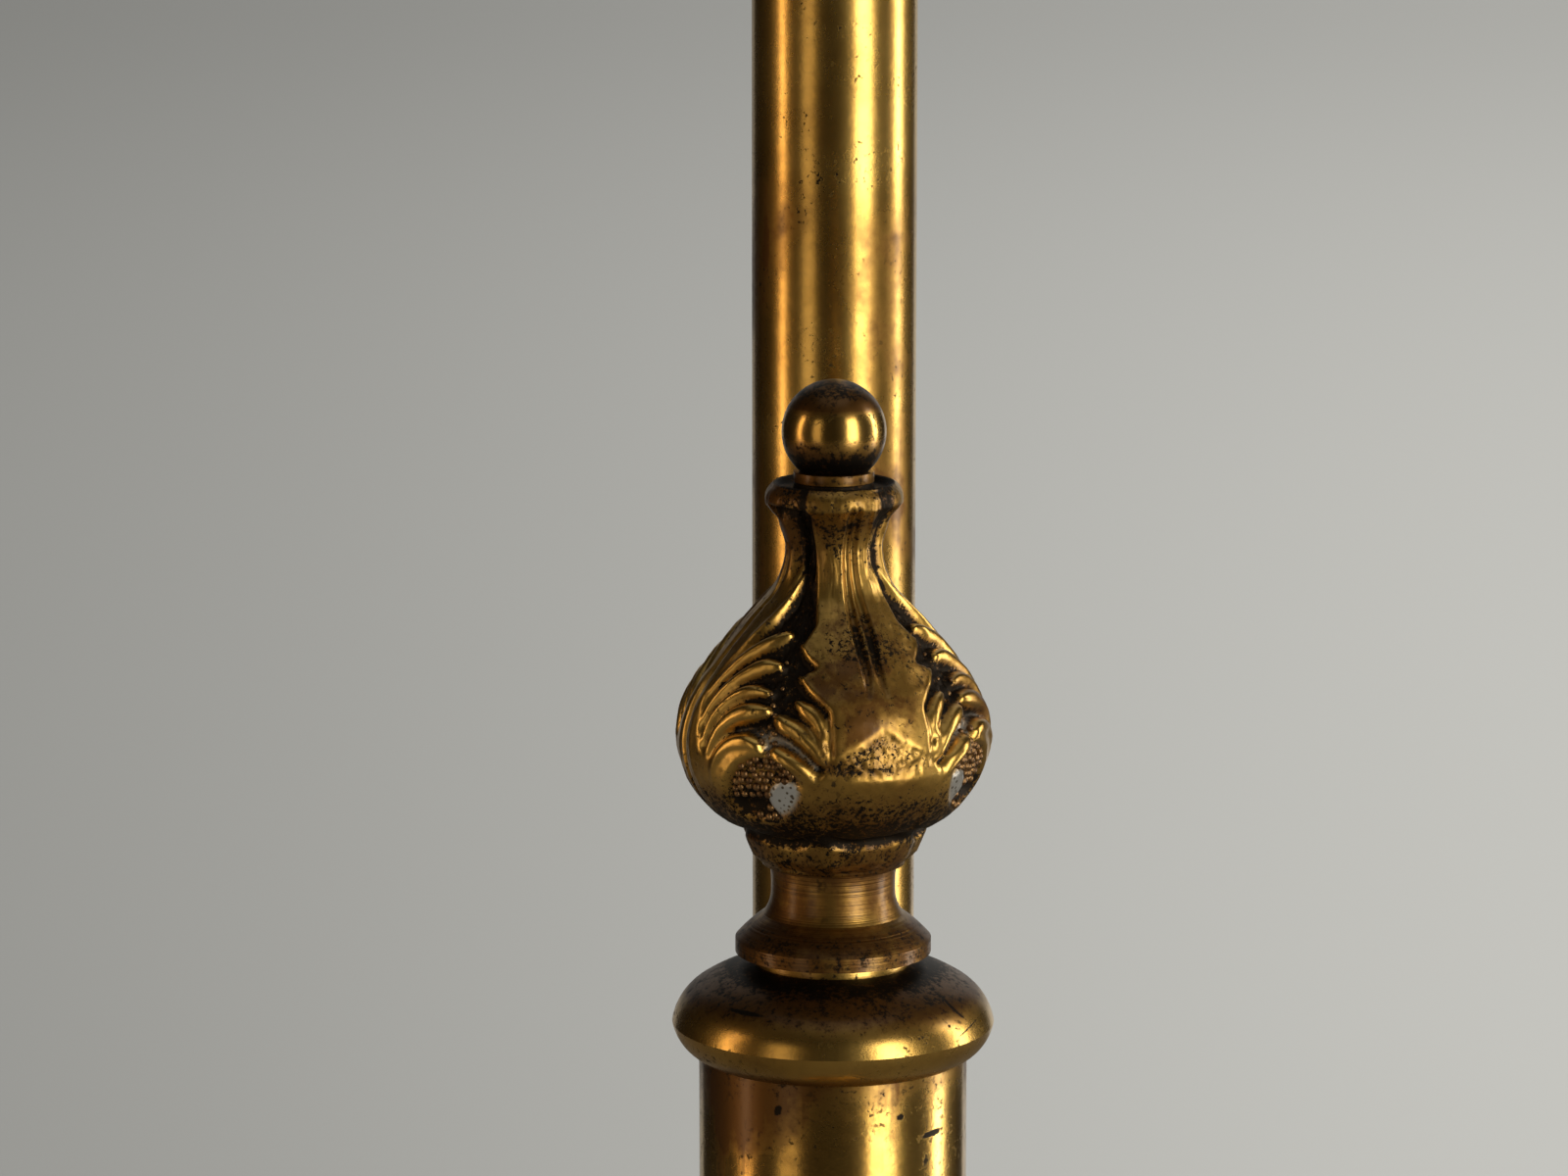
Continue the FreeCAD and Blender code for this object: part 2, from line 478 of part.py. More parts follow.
# ---------------------------------------------------------------- swivel knuckle
def make_swivel():
    bore = "spigot_rad + run_fit"
    blank = lathe_blank("swivel_knuckle_blank", [
        (bore, "0"), ("knuckle_foot_rad", "0"), ("knuckle_foot_rad", "2.5"),
        ("knuckle_neck_rad", "11", "-14"),
        ("knuckle_neck_rad", "knuckle_centre - sqrt(knuckle_rad ^ 2 - knuckle_neck_rad ^ 2)"),
        ("0", "knuckle_centre + knuckle_rad", "knuckle_rad"), ("0", "spigot_long + 1"),
        (bore, "spigot_long + 1"),
    ], ("0", "pole_y", KNUCKLE_Z))
    cuts = [
        solid("Box", "knuckle_front_flat", ("-20", "pole_y - knuckle_flat - 10", f"{TILT_Z} - 9"),
              Length="40", Width="10", Height="30"),
        solid("Box", "knuckle_back_flat", ("-20", "pole_y + knuckle_flat", f"{TILT_Z} - 9"),
              Length="40", Width="10", Height="30"),
        solid("Cylinder", "knuckle_bolt_bore", ("0", "pole_y - 20", TILT_Z), TO_Y,
              Radius="bolt_rad + run_fit", Height="40"),
        solid("Cylinder", "knuckle_set_bore",
              ("0", "pole_y", f"{KNUCKLE_Z} + groove_z + groove_tall / 2"), TO_X,
              Radius="set_screw_rad", Height="20"),
    ]
    node(cut("swivel_knuckle", blank, *cuts), "swivel_knuckle")
    lathe("swivel_set_screw", [("0", "0"), ("set_screw_rad", "0"), ("set_screw_rad", "4.4"),
                               ("0", "4.4")],
          ("groove_rad + 0.2", "pole_y", f"{KNUCKLE_Z} + groove_z + groove_tall / 2"), TO_X)
    lathe("tilt_friction_washer",
          ring_outline("bolt_rad + run_fit", "tilt_washer_rad", "tilt_washer"),
          ("0", "pole_y - knuckle_flat", TILT_Z), TO_MINUS_Y)


# ---------------------------------------------------------------- arm
def make_arm():
    hub_start = "(knuckle_flat + tilt_washer + body_gap)"
    blank = lathe_blank("arm_hub_blank", [
        ("bolt_rad", "0"), ("arm_hub_rad", "0"), ("arm_hub_rad", "16.5"),
        ("0", "20.5", "(arm_hub_rad ^ 2 + 4 ^ 2) / (2 * 4)"),
        ("0", "bolt_grip"), ("bolt_rad", "bolt_grip"),
    ], ("0", f"pole_y - {hub_start}", TILT_Z), TO_MINUS_Y)
    cross_bore = solid("Cylinder", "arm_hub_cross_bore", ("-20", ARM_Y, TILT_Z), TO_X,
                       Radius="arm_rad", Height="40")
    node(cut("arm_hub", blank, cross_bore), "arm_hub")
    lathe("arm_tube", ring_outline("arm_rad - arm_wall", "arm_rad", "arm_reach + arm_tail"),
          ("-arm_tail", ARM_Y, TILT_Z), TO_X)
    lathe("arm_tail_ball", [
        ("0", "0"), ("arm_rad - arm_wall", "0"), ("arm_rad - arm_wall", "8"),
        ("arm_rad + 1", "8"), ("arm_rad + 1", "9.4", "0.9"), ("4.5", "9.8"),
        ("4.5", "16.5 - sqrt(tail_ball_rad ^ 2 - 4.5 ^ 2)"),
        ("0", "16.5 + tail_ball_rad", "tail_ball_rad"),
    ], ("8 - arm_tail", ARM_Y, TILT_Z), TO_MINUS_X)
    lathe("tilt_bolt", [("0", "0"), ("bolt_rad", "0"), ("bolt_rad", "bolt_grip + 34"),
                        ("0", "bolt_grip + 34")],
          ("0", f"pole_y - {hub_start} - bolt_grip", TILT_Z), TO_Y)
    # a dished spring washer under the knob
    lathe("tilt_spring_washer", [
        ("bolt_rad", "spring_washer - 0.6"), ("tilt_washer_rad - 1", "0"),
        ("tilt_washer_rad - 1", "0.6"), ("bolt_rad", "spring_washer"),
    ], ("0", "pole_y + knuckle_flat + body_gap", TILT_Z), TO_Y)
    knob_start = "(knuckle_flat + spring_washer + 2 * body_gap)"
    knob = lathe("tilt_knob", [
        ("bolt_rad + run_fit", "0"), ("tilt_knob_rad - 4", "0"), ("tilt_knob_rad - 4", "1.5"),
        ("tilt_knob_rad - 1", "2.8", "-2"), ("tilt_knob_rad", "3.8", "1.5"),
        ("tilt_knob_rad", "tilt_knob_long - 3.5"),
        ("tilt_knob_rad - 2.5", "tilt_knob_long - 1", "2.6"),
        ("bolt_rad + run_fit", "tilt_knob_long", "32"),
    ], ("0", f"pole_y + {knob_start}", TILT_Z), TO_Y)
    flute(knob, 14, "tilt_knob_rad + 0.9", "1.5")
    # the end ferrule, whose spigot carries the head
    inner = "arm_rad - arm_wall"
    blank = lathe_blank("arm_end_ferrule_blank", [
        ("head_spigot_bore", "0"), (inner, "0"), (inner, "10"), ("arm_rad", "10"),
        ("end_collar_rad", "12", "-3"), ("end_collar_rad", "15"),
        ("end_collar_rad - 2", "18", "4"), ("head_spigot_rad", "18"),
        ("head_spigot_rad", "18 + head_spigot_long"),
        ("head_spigot_bore", "18 + head_spigot_long"),
    ], ("arm_reach - 10", ARM_Y, TILT_Z), TO_X)
    groove = spigot_groove("head_groove", ("arm_reach + 13", ARM_Y, TILT_Z), TO_X,
                           "head_spigot_rad", "head_groove_rad", "head_groove_tall",
                           "head_groove_turn")
    node(cut("arm_end_ferrule", blank, groove), "arm_end_ferrule")


# ---------------------------------------------------------------- head
def make_socket():
    bore = "head_spigot_rad + run_fit"
    collar_start = "(arm_reach + 8 + body_gap)"
    neck_end = f"shade_start + 6 - {collar_start}"
    blank = lathe_blank("head_collar_blank", [
        (bore, "0"), ("head_collar_rad - 1.5", "0"), ("head_collar_rad", "1.5", "2"),
        ("head_collar_rad", "9"), ("head_flange_rad", f"shade_start - 3 - {collar_start}", "-7"),
        ("head_flange_rad", f"shade_start - {collar_start}"),
        ("head_neck_rad", f"shade_start - {collar_start}"), ("head_neck_rad", neck_end),
        (bore, neck_end),
    ], (collar_start, ARM_Y, TILT_Z), TO_X)
    screw_x = "arm_reach + 13 + head_groove_tall / 2"
    set_bore = solid("Cylinder", "head_set_bore", (screw_x, ARM_Y, TILT_Z), TO_MINUS_Z,
                     Radius="head_screw_rad", Height="20")
    node(cut("head_collar", blank, set_bore), "head_collar")
    lathe("head_set_screw", [("0", "0"), ("head_screw_rad", "0"), ("head_screw_rad", "4.4"),
                             ("0", "4.4")],
          (screw_x, ARM_Y, f"{TILT_Z} - head_groove_rad - 0.2"), TO_MINUS_Z)
    cup_start = "shade_start + shade_wall"
    lathe("socket_cup", [
        ("head_neck_rad", "0"), ("cup_rad - 4", "0"), ("cup_rad", "4", "4"),
        ("cup_rad", "cup_long - 2"), ("cup_rad + 0.8", "cup_long - 1.2"),
        ("cup_rad", "cup_long", "0.8"), ("cup_rad - cup_wall", "cup_long"),
        ("cup_rad - cup_wall", "4"), ("cup_rad - 4", "cup_wall", "cup_wall - 4"),
        ("head_neck_rad", "cup_wall"),
    ], (cup_start, ARM_Y, TILT_Z), TO_X)
    lathe("shade_ring", ring_outline("head_neck_rad", "ring_rad", "ring_thick"),
          (f"{cup_start} + cup_wall", ARM_Y, TILT_Z), TO_X)
    insulator_x = f"{cup_start} + 6"
    lathe("socket_insulator", [
        ("0", "0"), ("insulator_rad", "0"), ("insulator_rad", "insulator_long"),
        ("0", "insulator_long"),
    ], (insulator_x, ARM_Y, TILT_Z), TO_X)
    shell_x = f"{insulator_x} + insulator_long"
    lathe("socket_screw_shell", ring_outline("screw_shell_rad - screw_shell_wall",
                                             "screw_shell_rad", "screw_shell_long"),
          (shell_x, ARM_Y, TILT_Z), TO_X)
    lathe("socket_contact", [("0", "0"), ("contact_rad", "0"), ("contact_rad - 1", "1"),
                             ("0", "1")], (shell_x, ARM_Y, TILT_Z), TO_X)
    cap_x = f"{shell_x} + 1"
    lathe("bulb_cap", [
        ("0", "0"), ("contact_rad - 1", "0"), ("bulb_cap_rad - 3", "3"),
        ("bulb_cap_rad", "5", "3"), ("bulb_cap_rad", "bulb_cap_long"), ("0", "bulb_cap_long"),
    ], (cap_x, ARM_Y, TILT_Z), TO_X)
    lathe("bulb_glass", [
        ("bulb_cap_rad - glass_wall", "0"), ("bulb_cap_rad", "0"), ("glass_rad", "8", "-22"),
        ("glass_rad", "glass_long - glass_rad"), ("0", "glass_long", "glass_rad"),
        ("0", "glass_long - glass_wall"),
        ("glass_rad - glass_wall", "glass_long - glass_rad", "glass_wall - glass_rad"),
        ("glass_rad - glass_wall", "8"),
    ], (f"{cap_x} + bulb_cap_long", ARM_Y, TILT_Z), TO_X)


def hood(name, radius, start, floor_drop):
    """A closed hood: half a barrel with a quarter-ball end, on straight skirts."""
    far = "(shade_start + shade_long - shade_rad)"
    return fused(
        name,
        solid("Cylinder", name + "_barrel", (start, ARM_Y, SHADE_Z), ARCH_TO_X, Radius=radius,
              Height=f"{far} - ({start})", Angle="180"),
        solid("Sphere", name + "_end", (far, ARM_Y, SHADE_Z), QUARTER_BACK, Radius=radius,
              Angle1="0", Angle2="90", Angle3="180"),
        plan_slab(name + "_skirt", radius, start, f"{SHADE_Z} - ({floor_drop})", floor_drop))


def plan_slab(name, radius, start, floor_z, tall):
    """The hood's plan, straight-sided with a half-round far end, as a slab."""
    far = "(shade_start + shade_long - shade_rad)"
    return fused(
        name,
        solid("Box", name + "_box", (start, f"{ARM_Y} - ({radius})", floor_z),
              Length=f"{far} - ({start})", Width=f"2 * ({radius})", Height=tall),
        solid("Cylinder", name + "_round", (far, ARM_Y, floor_z), QUARTER_BACK, Radius=radius,
              Height=tall, Angle="180"))


def make_shade():
    inner = "shade_rad - shade_wall"
    inner_start = "shade_start + shade_wall"
    outer_hood = hood("shade_outside", "shade_rad", "shade_start", "shade_skirt")
    inner_hood = hood("shade_inside", inner, inner_start, "shade_skirt + 2")
    tools = [
        inner_hood,
        solid("Cylinder", "shade_neck_hole", ("shade_start - 5", ARM_Y, TILT_Z), TO_X,
              Radius="head_neck_rad", Height="10"),
        solid("Cylinder", "shade_switch_hole",
              ("shade_start - 5", ARM_Y, f"{TILT_Z} + switch_rise"), TO_X,
              Radius="switch_neck_rad", Height="10"),
    ]
    for step in range(-2, 3):
        tools.append(solid("Box", f"shade_vent_{step + 2}",
                           ("shade_start + 14", f"{ARM_Y} + {step} * vent_step - vent_wide / 2",
                            f"{SHADE_Z} + shade_rad - 12"),
                           Length="vent_long", Width="vent_wide", Height="20"))
    node(cut("shade", outer_hood, *tools), "shade")
    rim_z = f"{SHADE_Z} - shade_skirt - rim_tall"
    band = plan_slab("rim_outside", "shade_rad + rim_out", "shade_start - rim_out", rim_z,
                     "rim_tall")
    hollow = plan_slab("rim_inside", inner, inner_start, f"{rim_z} - 2", "rim_tall + 4")
    node(cut("shade_rim", band, hollow), "shade_rim")


def make_switch():
    centre = (ARM_Y, f"{TILT_Z} + switch_rise")
    lathe("switch_body", [
        ("switch_shaft_rad + run_fit", "0"), ("switch_neck_rad", "0"),
        ("switch_neck_rad", "switch_neck_long"), ("switch_rad", "switch_neck_long"),
        ("switch_rad", "switch_neck_long + switch_long"), ("0", "switch_neck_long + switch_long"),
        ("0", "switch_neck_long + 6"), ("switch_shaft_rad + run_fit", "switch_neck_long + 6"),
    ], ("shade_start + shade_wall - switch_neck_long", *centre), TO_X)
    lathe("switch_bezel", [
        ("switch_neck_rad", "0"), ("bezel_rad - 1.5", "0"), ("bezel_rad", "1.2", "1.6"),
        ("bezel_rad", "bezel_thick"), ("switch_neck_rad", "bezel_thick"),
    ], ("shade_start - bezel_thick", *centre), TO_X)
    face = "switch_knob_long"
    knob = lathe("switch_knob", [
        ("0", "0"), ("switch_knob_rad - 2", "0.8"), ("switch_knob_rad", "2.8", "2.1"),
        ("switch_knob_rad", f"{face} - 1"), ("switch_knob_rad - 1", face),
        ("switch_shaft_rad", face), ("switch_shaft_rad", f"{face} + switch_neck_long + 5"),
        ("0", f"{face} + switch_neck_long + 5"),
    ], (f"shade_start + shade_wall - switch_neck_long - body_gap - {face}", *centre), TO_X)
    flute(knob, 12, "switch_knob_rad + 0.7", "1.2")


make_base()
make_column()
make_finial()
make_brackets()
make_clamp()
make_pole()
make_swivel()
make_arm()
make_socket()
make_shade()
make_switch()
DOC.recompute()

for item in DOC.Objects:
    if {"Invalid", "Error"} & set(item.State):
        raise RuntimeError(f"{item.Label} failed: {item.State}")
for item in NODES:
    if item.Shape.isNull() or not item.Shape.isValid():
        raise RuntimeError(f"{item.Label} has no valid shape")
os.makedirs("parts", exist_ok=True)
for item in NODES:
    item.Shape.exportStep(f"parts/{item.Label}.step")
print(len(NODES), "nodes written")
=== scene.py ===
import json
import math

import bpy
import numpy as np
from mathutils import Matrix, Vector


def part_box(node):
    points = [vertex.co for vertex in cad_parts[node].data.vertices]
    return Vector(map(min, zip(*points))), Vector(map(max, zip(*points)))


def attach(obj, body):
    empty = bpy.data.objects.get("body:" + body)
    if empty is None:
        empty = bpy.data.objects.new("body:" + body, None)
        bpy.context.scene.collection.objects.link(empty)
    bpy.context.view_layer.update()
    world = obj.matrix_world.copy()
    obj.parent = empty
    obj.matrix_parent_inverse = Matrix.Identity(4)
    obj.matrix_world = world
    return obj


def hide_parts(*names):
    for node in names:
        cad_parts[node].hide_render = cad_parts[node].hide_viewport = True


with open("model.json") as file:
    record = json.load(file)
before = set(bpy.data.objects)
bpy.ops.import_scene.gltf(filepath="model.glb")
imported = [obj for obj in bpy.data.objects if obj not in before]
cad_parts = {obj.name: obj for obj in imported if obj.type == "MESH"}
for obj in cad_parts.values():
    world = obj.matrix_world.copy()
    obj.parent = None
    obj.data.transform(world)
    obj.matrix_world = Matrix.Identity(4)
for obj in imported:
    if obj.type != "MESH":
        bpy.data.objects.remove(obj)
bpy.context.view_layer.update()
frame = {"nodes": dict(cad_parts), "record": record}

MM = 0.001
NODES = frame["nodes"]
LIP_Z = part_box("column_cap")[0].z              # the cap's lower edge
PEDESTAL_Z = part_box("finial_pedestal")[0].z
BULB_FOOT_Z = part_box("finial_bulb")[0].z
BALL_LOW, BALL_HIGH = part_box("finial_ball")
BALL_Z = (BALL_LOW.z + BALL_HIGH.z) / 2
RNG = np.random.default_rng(7)

# ---------------------------------------------------------------- camera, floor, light
# the camera: its lens in millimetres, its place in metres and degrees
SENSOR_WIDTH = 36
FOCAL_LENGTH = 119.25
CAMERA_PITCH = 10.2
CAMERA_TURN = 0.557
CAMERA_DISTANCE = 0.4773
AIM_ABOVE_LIP = 0.0439
# the floor: its size in metres, how pale it is on the left and on the right (painted shade, as if lit from
# the right), and its tint
FLOOR_REACH = 30.0
FLOOR_SIDES = 24
FLOOR_SHADED_LEFT = 0.37
FLOOR_LIT_RIGHT = 0.81
FLOOR_TINT = (("Red", 1.0), ("Green", 0.99), ("Blue", 0.945))
FLOOR_BLEND = (-0.25, 0.23)  # where it changes, as x over one more than the distance
FLOOR_SHADE_FADE = (3.0, 16.0)     # painted shade: distances between which it darkens
FLOOR_FAR_SHADE = 0.72             # the share of its tone that is left far away
# the surround: its strength on the left and on the right
WORLD_LEFT = 0.24
WORLD_RIGHT = 0.46
WORLD_BLEND = 0.15           # how far to either side it changes, as the sine of the azimuth
WORLD_COLOR = (1.0, 1.0, 0.955, 1)
# the upright lights: metres from the lamp and above the floor
SOFTBOX_REACH = 2.0
SOFTBOX_LOW = 0.1
# name, azimuth, top, width, power and colour of each
SOFTBOXES = (
    ("window_right_front", 43, 2.2, 0.80, 26, (1.0, 0.94, 0.80)),
    ("window_right", 103, 2.2, 0.40, 20, (1.0, 0.94, 0.82)),
    ("lamp_left_front", -38, 2.0, 0.6, 2.8, (1.0, 0.82, 0.58)),
    ("lamp_left", -80, 2.0, 0.30, 6, (1.0, 0.72, 0.45)),
)
# the dark wall and the dark mat that show only in the metal
CARD_REACH = 2.6
WALL_ENDS = (-150, 150)      # azimuths, counted as the lights' are
WALL_LOW = -0.2
WALL_HIGH = 6.0
WALL_PARTS = 12
WALL_TONE = (0.03, 0.026, 0.022)
MAT_HEIGHT = 0.004
MAT_TONE = (0.14, 0.122, 0.095)
SUN_STRENGTH = 1.40
SUN_SOFTNESS = 40            # degrees across
SUN_TILT = (-22, 14)         # degrees about X and Y


def make_camera():
    """A long lens a little above the finial, looking down at it and turned slightly to its left."""
    data = bpy.data.cameras.new("camera")
    data.sensor_width = SENSOR_WIDTH
    data.lens = FOCAL_LENGTH
    camera = bpy.data.objects.new("camera", data)
    bpy.context.scene.collection.objects.link(camera)
    pitch = math.radians(CAMERA_PITCH)
    height = LIP_Z + AIM_ABOVE_LIP + CAMERA_DISTANCE * math.sin(pitch)
    camera.location = (0, -CAMERA_DISTANCE * math.cos(pitch), height)
    camera.rotation_euler = (math.pi / 2 - pitch, 0, math.radians(CAMERA_TURN))
    bpy.context.scene.camera = camera


def new_object(name, points, faces):
    """A mesh object in the scene."""
    mesh = bpy.data.meshes.new(name)
    mesh.from_pydata(points, [], faces)
    thing = bpy.data.objects.new(name, mesh)
    bpy.context.scene.collection.objects.link(thing)
    return thing


def new_material(name):
    """A node material, its tree and its shader."""
    material = bpy.data.materials.new(name)
    material.use_nodes = True
    tree = material.node_tree
    return material, tree, tree.nodes["Principled BSDF"]


class Paint:
    """Small helper to write a material's nodes in a few lines."""

    def __init__(self, name):
        self.material, self.tree, self.shader = new_material(name)
        self.nodes, self.links = self.tree.nodes, self.tree.links
        self.place = self.nodes.new("ShaderNodeTexCoord").outputs["Object"]

    def put(self, target, value):
        """Link another node's output to a socket, or set the socket's own value."""
        if hasattr(value, "is_output"):
            self.links.new(value, target)
        elif value is not None:
            target.default_value = value

    def math(self, kind, first, second=0.0, clamp=False):
        """One step of arithmetic."""
        node = self.nodes.new("ShaderNodeMath")
        node.operation = kind
        node.use_clamp = clamp
        self.put(node.inputs[0], first)
        self.put(node.inputs[1], second)
        return node.outputs[0]

    def ramp(self, value, low, high, start=0.0, end=1.0):
        """Start at low, end at high, with soft ends. Low may be above high."""
        node = self.nodes.new("ShaderNodeMapRange")
        node.interpolation_type = "SMOOTHSTEP"
        self.put(node.inputs["Value"], value)
        for label, number in (("From Min", low), ("From Max", high), ("To Min", start), ("To Max", end)):
            node.inputs[label].default_value = number
        return node.outputs["Result"]

    def stretch(self, factors):
        """The place scaled by axis, for streaks and rings."""
        node = self.nodes.new("ShaderNodeMapping")
        node.inputs["Scale"].default_value = factors
        self.links.new(self.place, node.inputs["Vector"])
        return node.outputs["Vector"]

    def noise(self, scale, detail=3.0, rough=0.5, place=None):
        """Cloudy noise round 0.5."""
        node = self.nodes.new("ShaderNodeTexNoise")
        node.inputs["Scale"].default_value = scale
        node.inputs["Detail"].default_value = detail
        node.inputs["Roughness"].default_value = rough
        self.links.new(place or self.place, node.inputs["Vector"])
        return node.outputs["Fac"]

    def mix(self, factor, first, second):
        """The first colour at 0, the second at 1."""
        node = self.nodes.new("ShaderNodeMix")
        node.data_type = "RGBA"
        self.put(node.inputs["Factor"], factor)
        self.put(node.inputs["A"], (*first, 1) if isinstance(first, tuple) else first)
        self.put(node.inputs["B"], (*second, 1) if isinstance(second, tuple) else second)
        return node.outputs["Result"]

    def attribute(self, label):
        """A mesh attribute's value."""
        node = self.nodes.new("ShaderNodeAttribute")
        node.attribute_name = label
        return node.outputs["Fac"]

    def mark(self, x, z, long, thick, tilt, jitter):
        """A stroke on the front, 1 inside it, with an edge roughened by the jitter.

        Its middle, half length and half width are in metres, its tilt in degrees.
        """
        lean = math.radians(tilt)
        split = self.nodes.new("ShaderNodeSeparateXYZ")
        self.links.new(self.place, split.inputs[0])
        right = self.math("SUBTRACT", split.outputs["X"], x)
        up = self.math("SUBTRACT", split.outputs["Z"], z)
        total = 0.0
        for size, cos, sin in ((long, math.cos(lean), math.sin(lean)),
                               (thick, -math.sin(lean), math.cos(lean))):
            share = self.math("ADD", self.math("MULTIPLY", right, cos / size),
                              self.math("MULTIPLY", up, sin / size))
            total = self.math("ADD", self.math("MULTIPLY", share, share), total)
        inside = self.ramp(self.math("ADD", total, jitter), 1.4, 0.7)
        return self.math("MULTIPLY", inside, self.math("LESS_THAN", split.outputs["Y"], 0.0))

    def dots(self, scale, size):
        """Round dots: 1 in a dot, 0 between."""
        node = self.nodes.new("ShaderNodeTexVoronoi")
        node.inputs["Scale"].default_value = scale
        self.links.new(self.place, node.inputs["Vector"])
        return self.ramp(node.outputs["Distance"], size, size * 0.7)

    def axis(self, letter):
        """One coordinate of the place, in metres."""
        node = self.nodes.new("ShaderNodeSeparateXYZ")
        self.links.new(self.place, node.inputs[0])
        return node.outputs[letter]

    def bump(self, height, strength, distance, under=None):
        """A normal bent by a height, on top of another bump."""
        node = self.nodes.new("ShaderNodeBump")
        node.inputs["Strength"].default_value = strength
        node.inputs["Distance"].default_value = distance
        self.links.new(height, node.inputs["Height"])
        if under is not None:
            self.links.new(under, node.inputs["Normal"])
        return node.outputs["Normal"]

    def finish(self, color=None, rough=None, metal=None, normal=None):
        """Join everything to the shader."""
        self.put(self.shader.inputs["Base Color"], (*color, 1) if isinstance(color, tuple) else color)
        self.put(self.shader.inputs["Roughness"], rough)
        self.put(self.shader.inputs["Metallic"], metal)
        if normal is not None:
            self.links.new(normal, self.shader.inputs["Normal"])
        return self.material


def make_floor():
    """A pale floor with painted shade that darkens it towards the left and far away, as if lit from the
    right.
    """
    corners = []
    for i in range(FLOOR_SIDES):
        turn = 2 * math.pi * i / FLOOR_SIDES
        corners.append((FLOOR_REACH * math.cos(turn), FLOOR_REACH * math.sin(turn), 0))
    floor = new_object("floor", corners, [range(FLOOR_SIDES)])
    paint = Paint("floor")
    x, y = paint.axis("X"), paint.axis("Y")
    squares = paint.math("ADD", paint.math("MULTIPLY", x, x), paint.math("MULTIPLY", y, y))
    away = paint.math("SQRT", squares)
    side = paint.math("DIVIDE", x, paint.math("ADD", away, 1.0))
    # painted shade: darker to the left and far away, lighter to the right
    shade = paint.ramp(side, *FLOOR_BLEND, FLOOR_SHADED_LEFT, FLOOR_LIT_RIGHT)
    shade = paint.math("MULTIPLY", shade, paint.ramp(away, *FLOOR_SHADE_FADE, 1.0, FLOOR_FAR_SHADE))
    tone = paint.nodes.new("ShaderNodeCombineColor")
    for label, share in FLOOR_TINT:
        paint.links.new(paint.math("MULTIPLY", shade, share), tone.inputs[label])
    floor.data.materials.append(paint.finish(tone.outputs["Color"], rough=0.9))


def make_world():
    """A plain grey surround, darker on the left than on the right."""
    world = bpy.data.worlds.new("world")
    world.use_nodes = True
    nodes, links = world.node_tree.nodes, world.node_tree.links
    place = nodes.new("ShaderNodeTexCoord")
    split = nodes.new("ShaderNodeSeparateXYZ")
    ramp = nodes.new("ShaderNodeMapRange")
    ramp.inputs["From Min"].default_value = -WORLD_BLEND
    ramp.inputs["From Max"].default_value = WORLD_BLEND
    ramp.inputs["To Min"].default_value = WORLD_LEFT
    ramp.inputs["To Max"].default_value = WORLD_RIGHT
    links.new(place.outputs["Generated"], split.inputs[0])
    links.new(split.outputs["X"], ramp.inputs["Value"])
    background = nodes["Background"]
    background.inputs["Color"].default_value = WORLD_COLOR
    links.new(ramp.outputs["Result"], background.inputs["Strength"])
    bpy.context.scene.world = world


def softbox(name, azimuth, high, width, power, color):
    """An upright light facing the finial, seen only in the metal.

    Azimuth is in degrees from the front (-Y), plus towards +X.
    """
    data = bpy.data.lights.new(name, "AREA")
    data.shape = "RECTANGLE"
    data.size = width
    data.size_y = high - SOFTBOX_LOW
    data.energy = power
    data.color = color
    light = bpy.data.objects.new(name, data)
    bpy.context.scene.collection.objects.link(light)
    turn = math.radians(azimuth)
    middle = (SOFTBOX_LOW + high) / 2
    light.location = (SOFTBOX_REACH * math.sin(turn), -SOFTBOX_REACH * math.cos(turn), middle)
    light.rotation_euler = (math.pi / 2, 0, turn)
    light.visible_camera = False
    light.visible_diffuse = False


def hide_but_in_reflections(card, name, tone):
    """Give a card its tone, and show it in reflections only."""
    paint = Paint(name)
    paint.shader.inputs["Specular IOR Level"].default_value = 0.0
    card.data.materials.append(paint.finish(tone, rough=1.0))
    card.visible_camera = False
    card.visible_diffuse = False
    card.visible_shadow = False
    card.visible_transmission = False


def dark_wall():
    """A dark card that stands round the lamp between two azimuths."""
    points, faces = [], []
    start, end = WALL_ENDS
    for i in range(WALL_PARTS + 1):
        turn = math.radians(start + (end - start) * i / WALL_PARTS)
        for z in (WALL_LOW, WALL_HIGH):
            points.append((CARD_REACH * math.sin(turn), -CARD_REACH * math.cos(turn), z))
    for i in range(WALL_PARTS):
        faces.append((2 * i, 2 * i + 2, 2 * i + 3, 2 * i + 1))
    hide_but_in_reflections(new_object("dark_front", points, faces), "dark_front", WALL_TONE)


def dark_mat():
    """The same, lying round the lamp's foot."""
    turns = [math.radians(a) for a in range(0, 360, 15)]
    points = [(CARD_REACH * math.cos(t), CARD_REACH * math.sin(t), MAT_HEIGHT) for t in turns]
    hide_but_in_reflections(new_object("dark_mat", points, [range(len(points))]), "dark_mat", MAT_TONE)


def overhead():
    """A soft sun that lights the floor and doesn't show in the metal."""
    data = bpy.data.lights.new("overhead", "SUN")
    data.energy = SUN_STRENGTH
    data.angle = math.radians(SUN_SOFTNESS)
    light = bpy.data.objects.new("overhead", data)
    bpy.context.scene.collection.objects.link(light)
    light.rotation_euler = (math.radians(SUN_TILT[0]), math.radians(SUN_TILT[1]), 0)
    light.visible_glossy = False


# ---------------------------------------------------------------- the cast bulb
# Heights on the bulb are in mm from its foot, and leaf angles (psi) in degrees: 0 is the middle of
# the plain leaf and 90 the middle of the frond. They follow the photo, as judged from it.
LEAF_TURN = 19.0          # where the plain leaf's middle faces, in degrees from the front
COLUMNS = 420             # points round the bulb
ROW_STEP = 0.215          # mm between rows along the profile
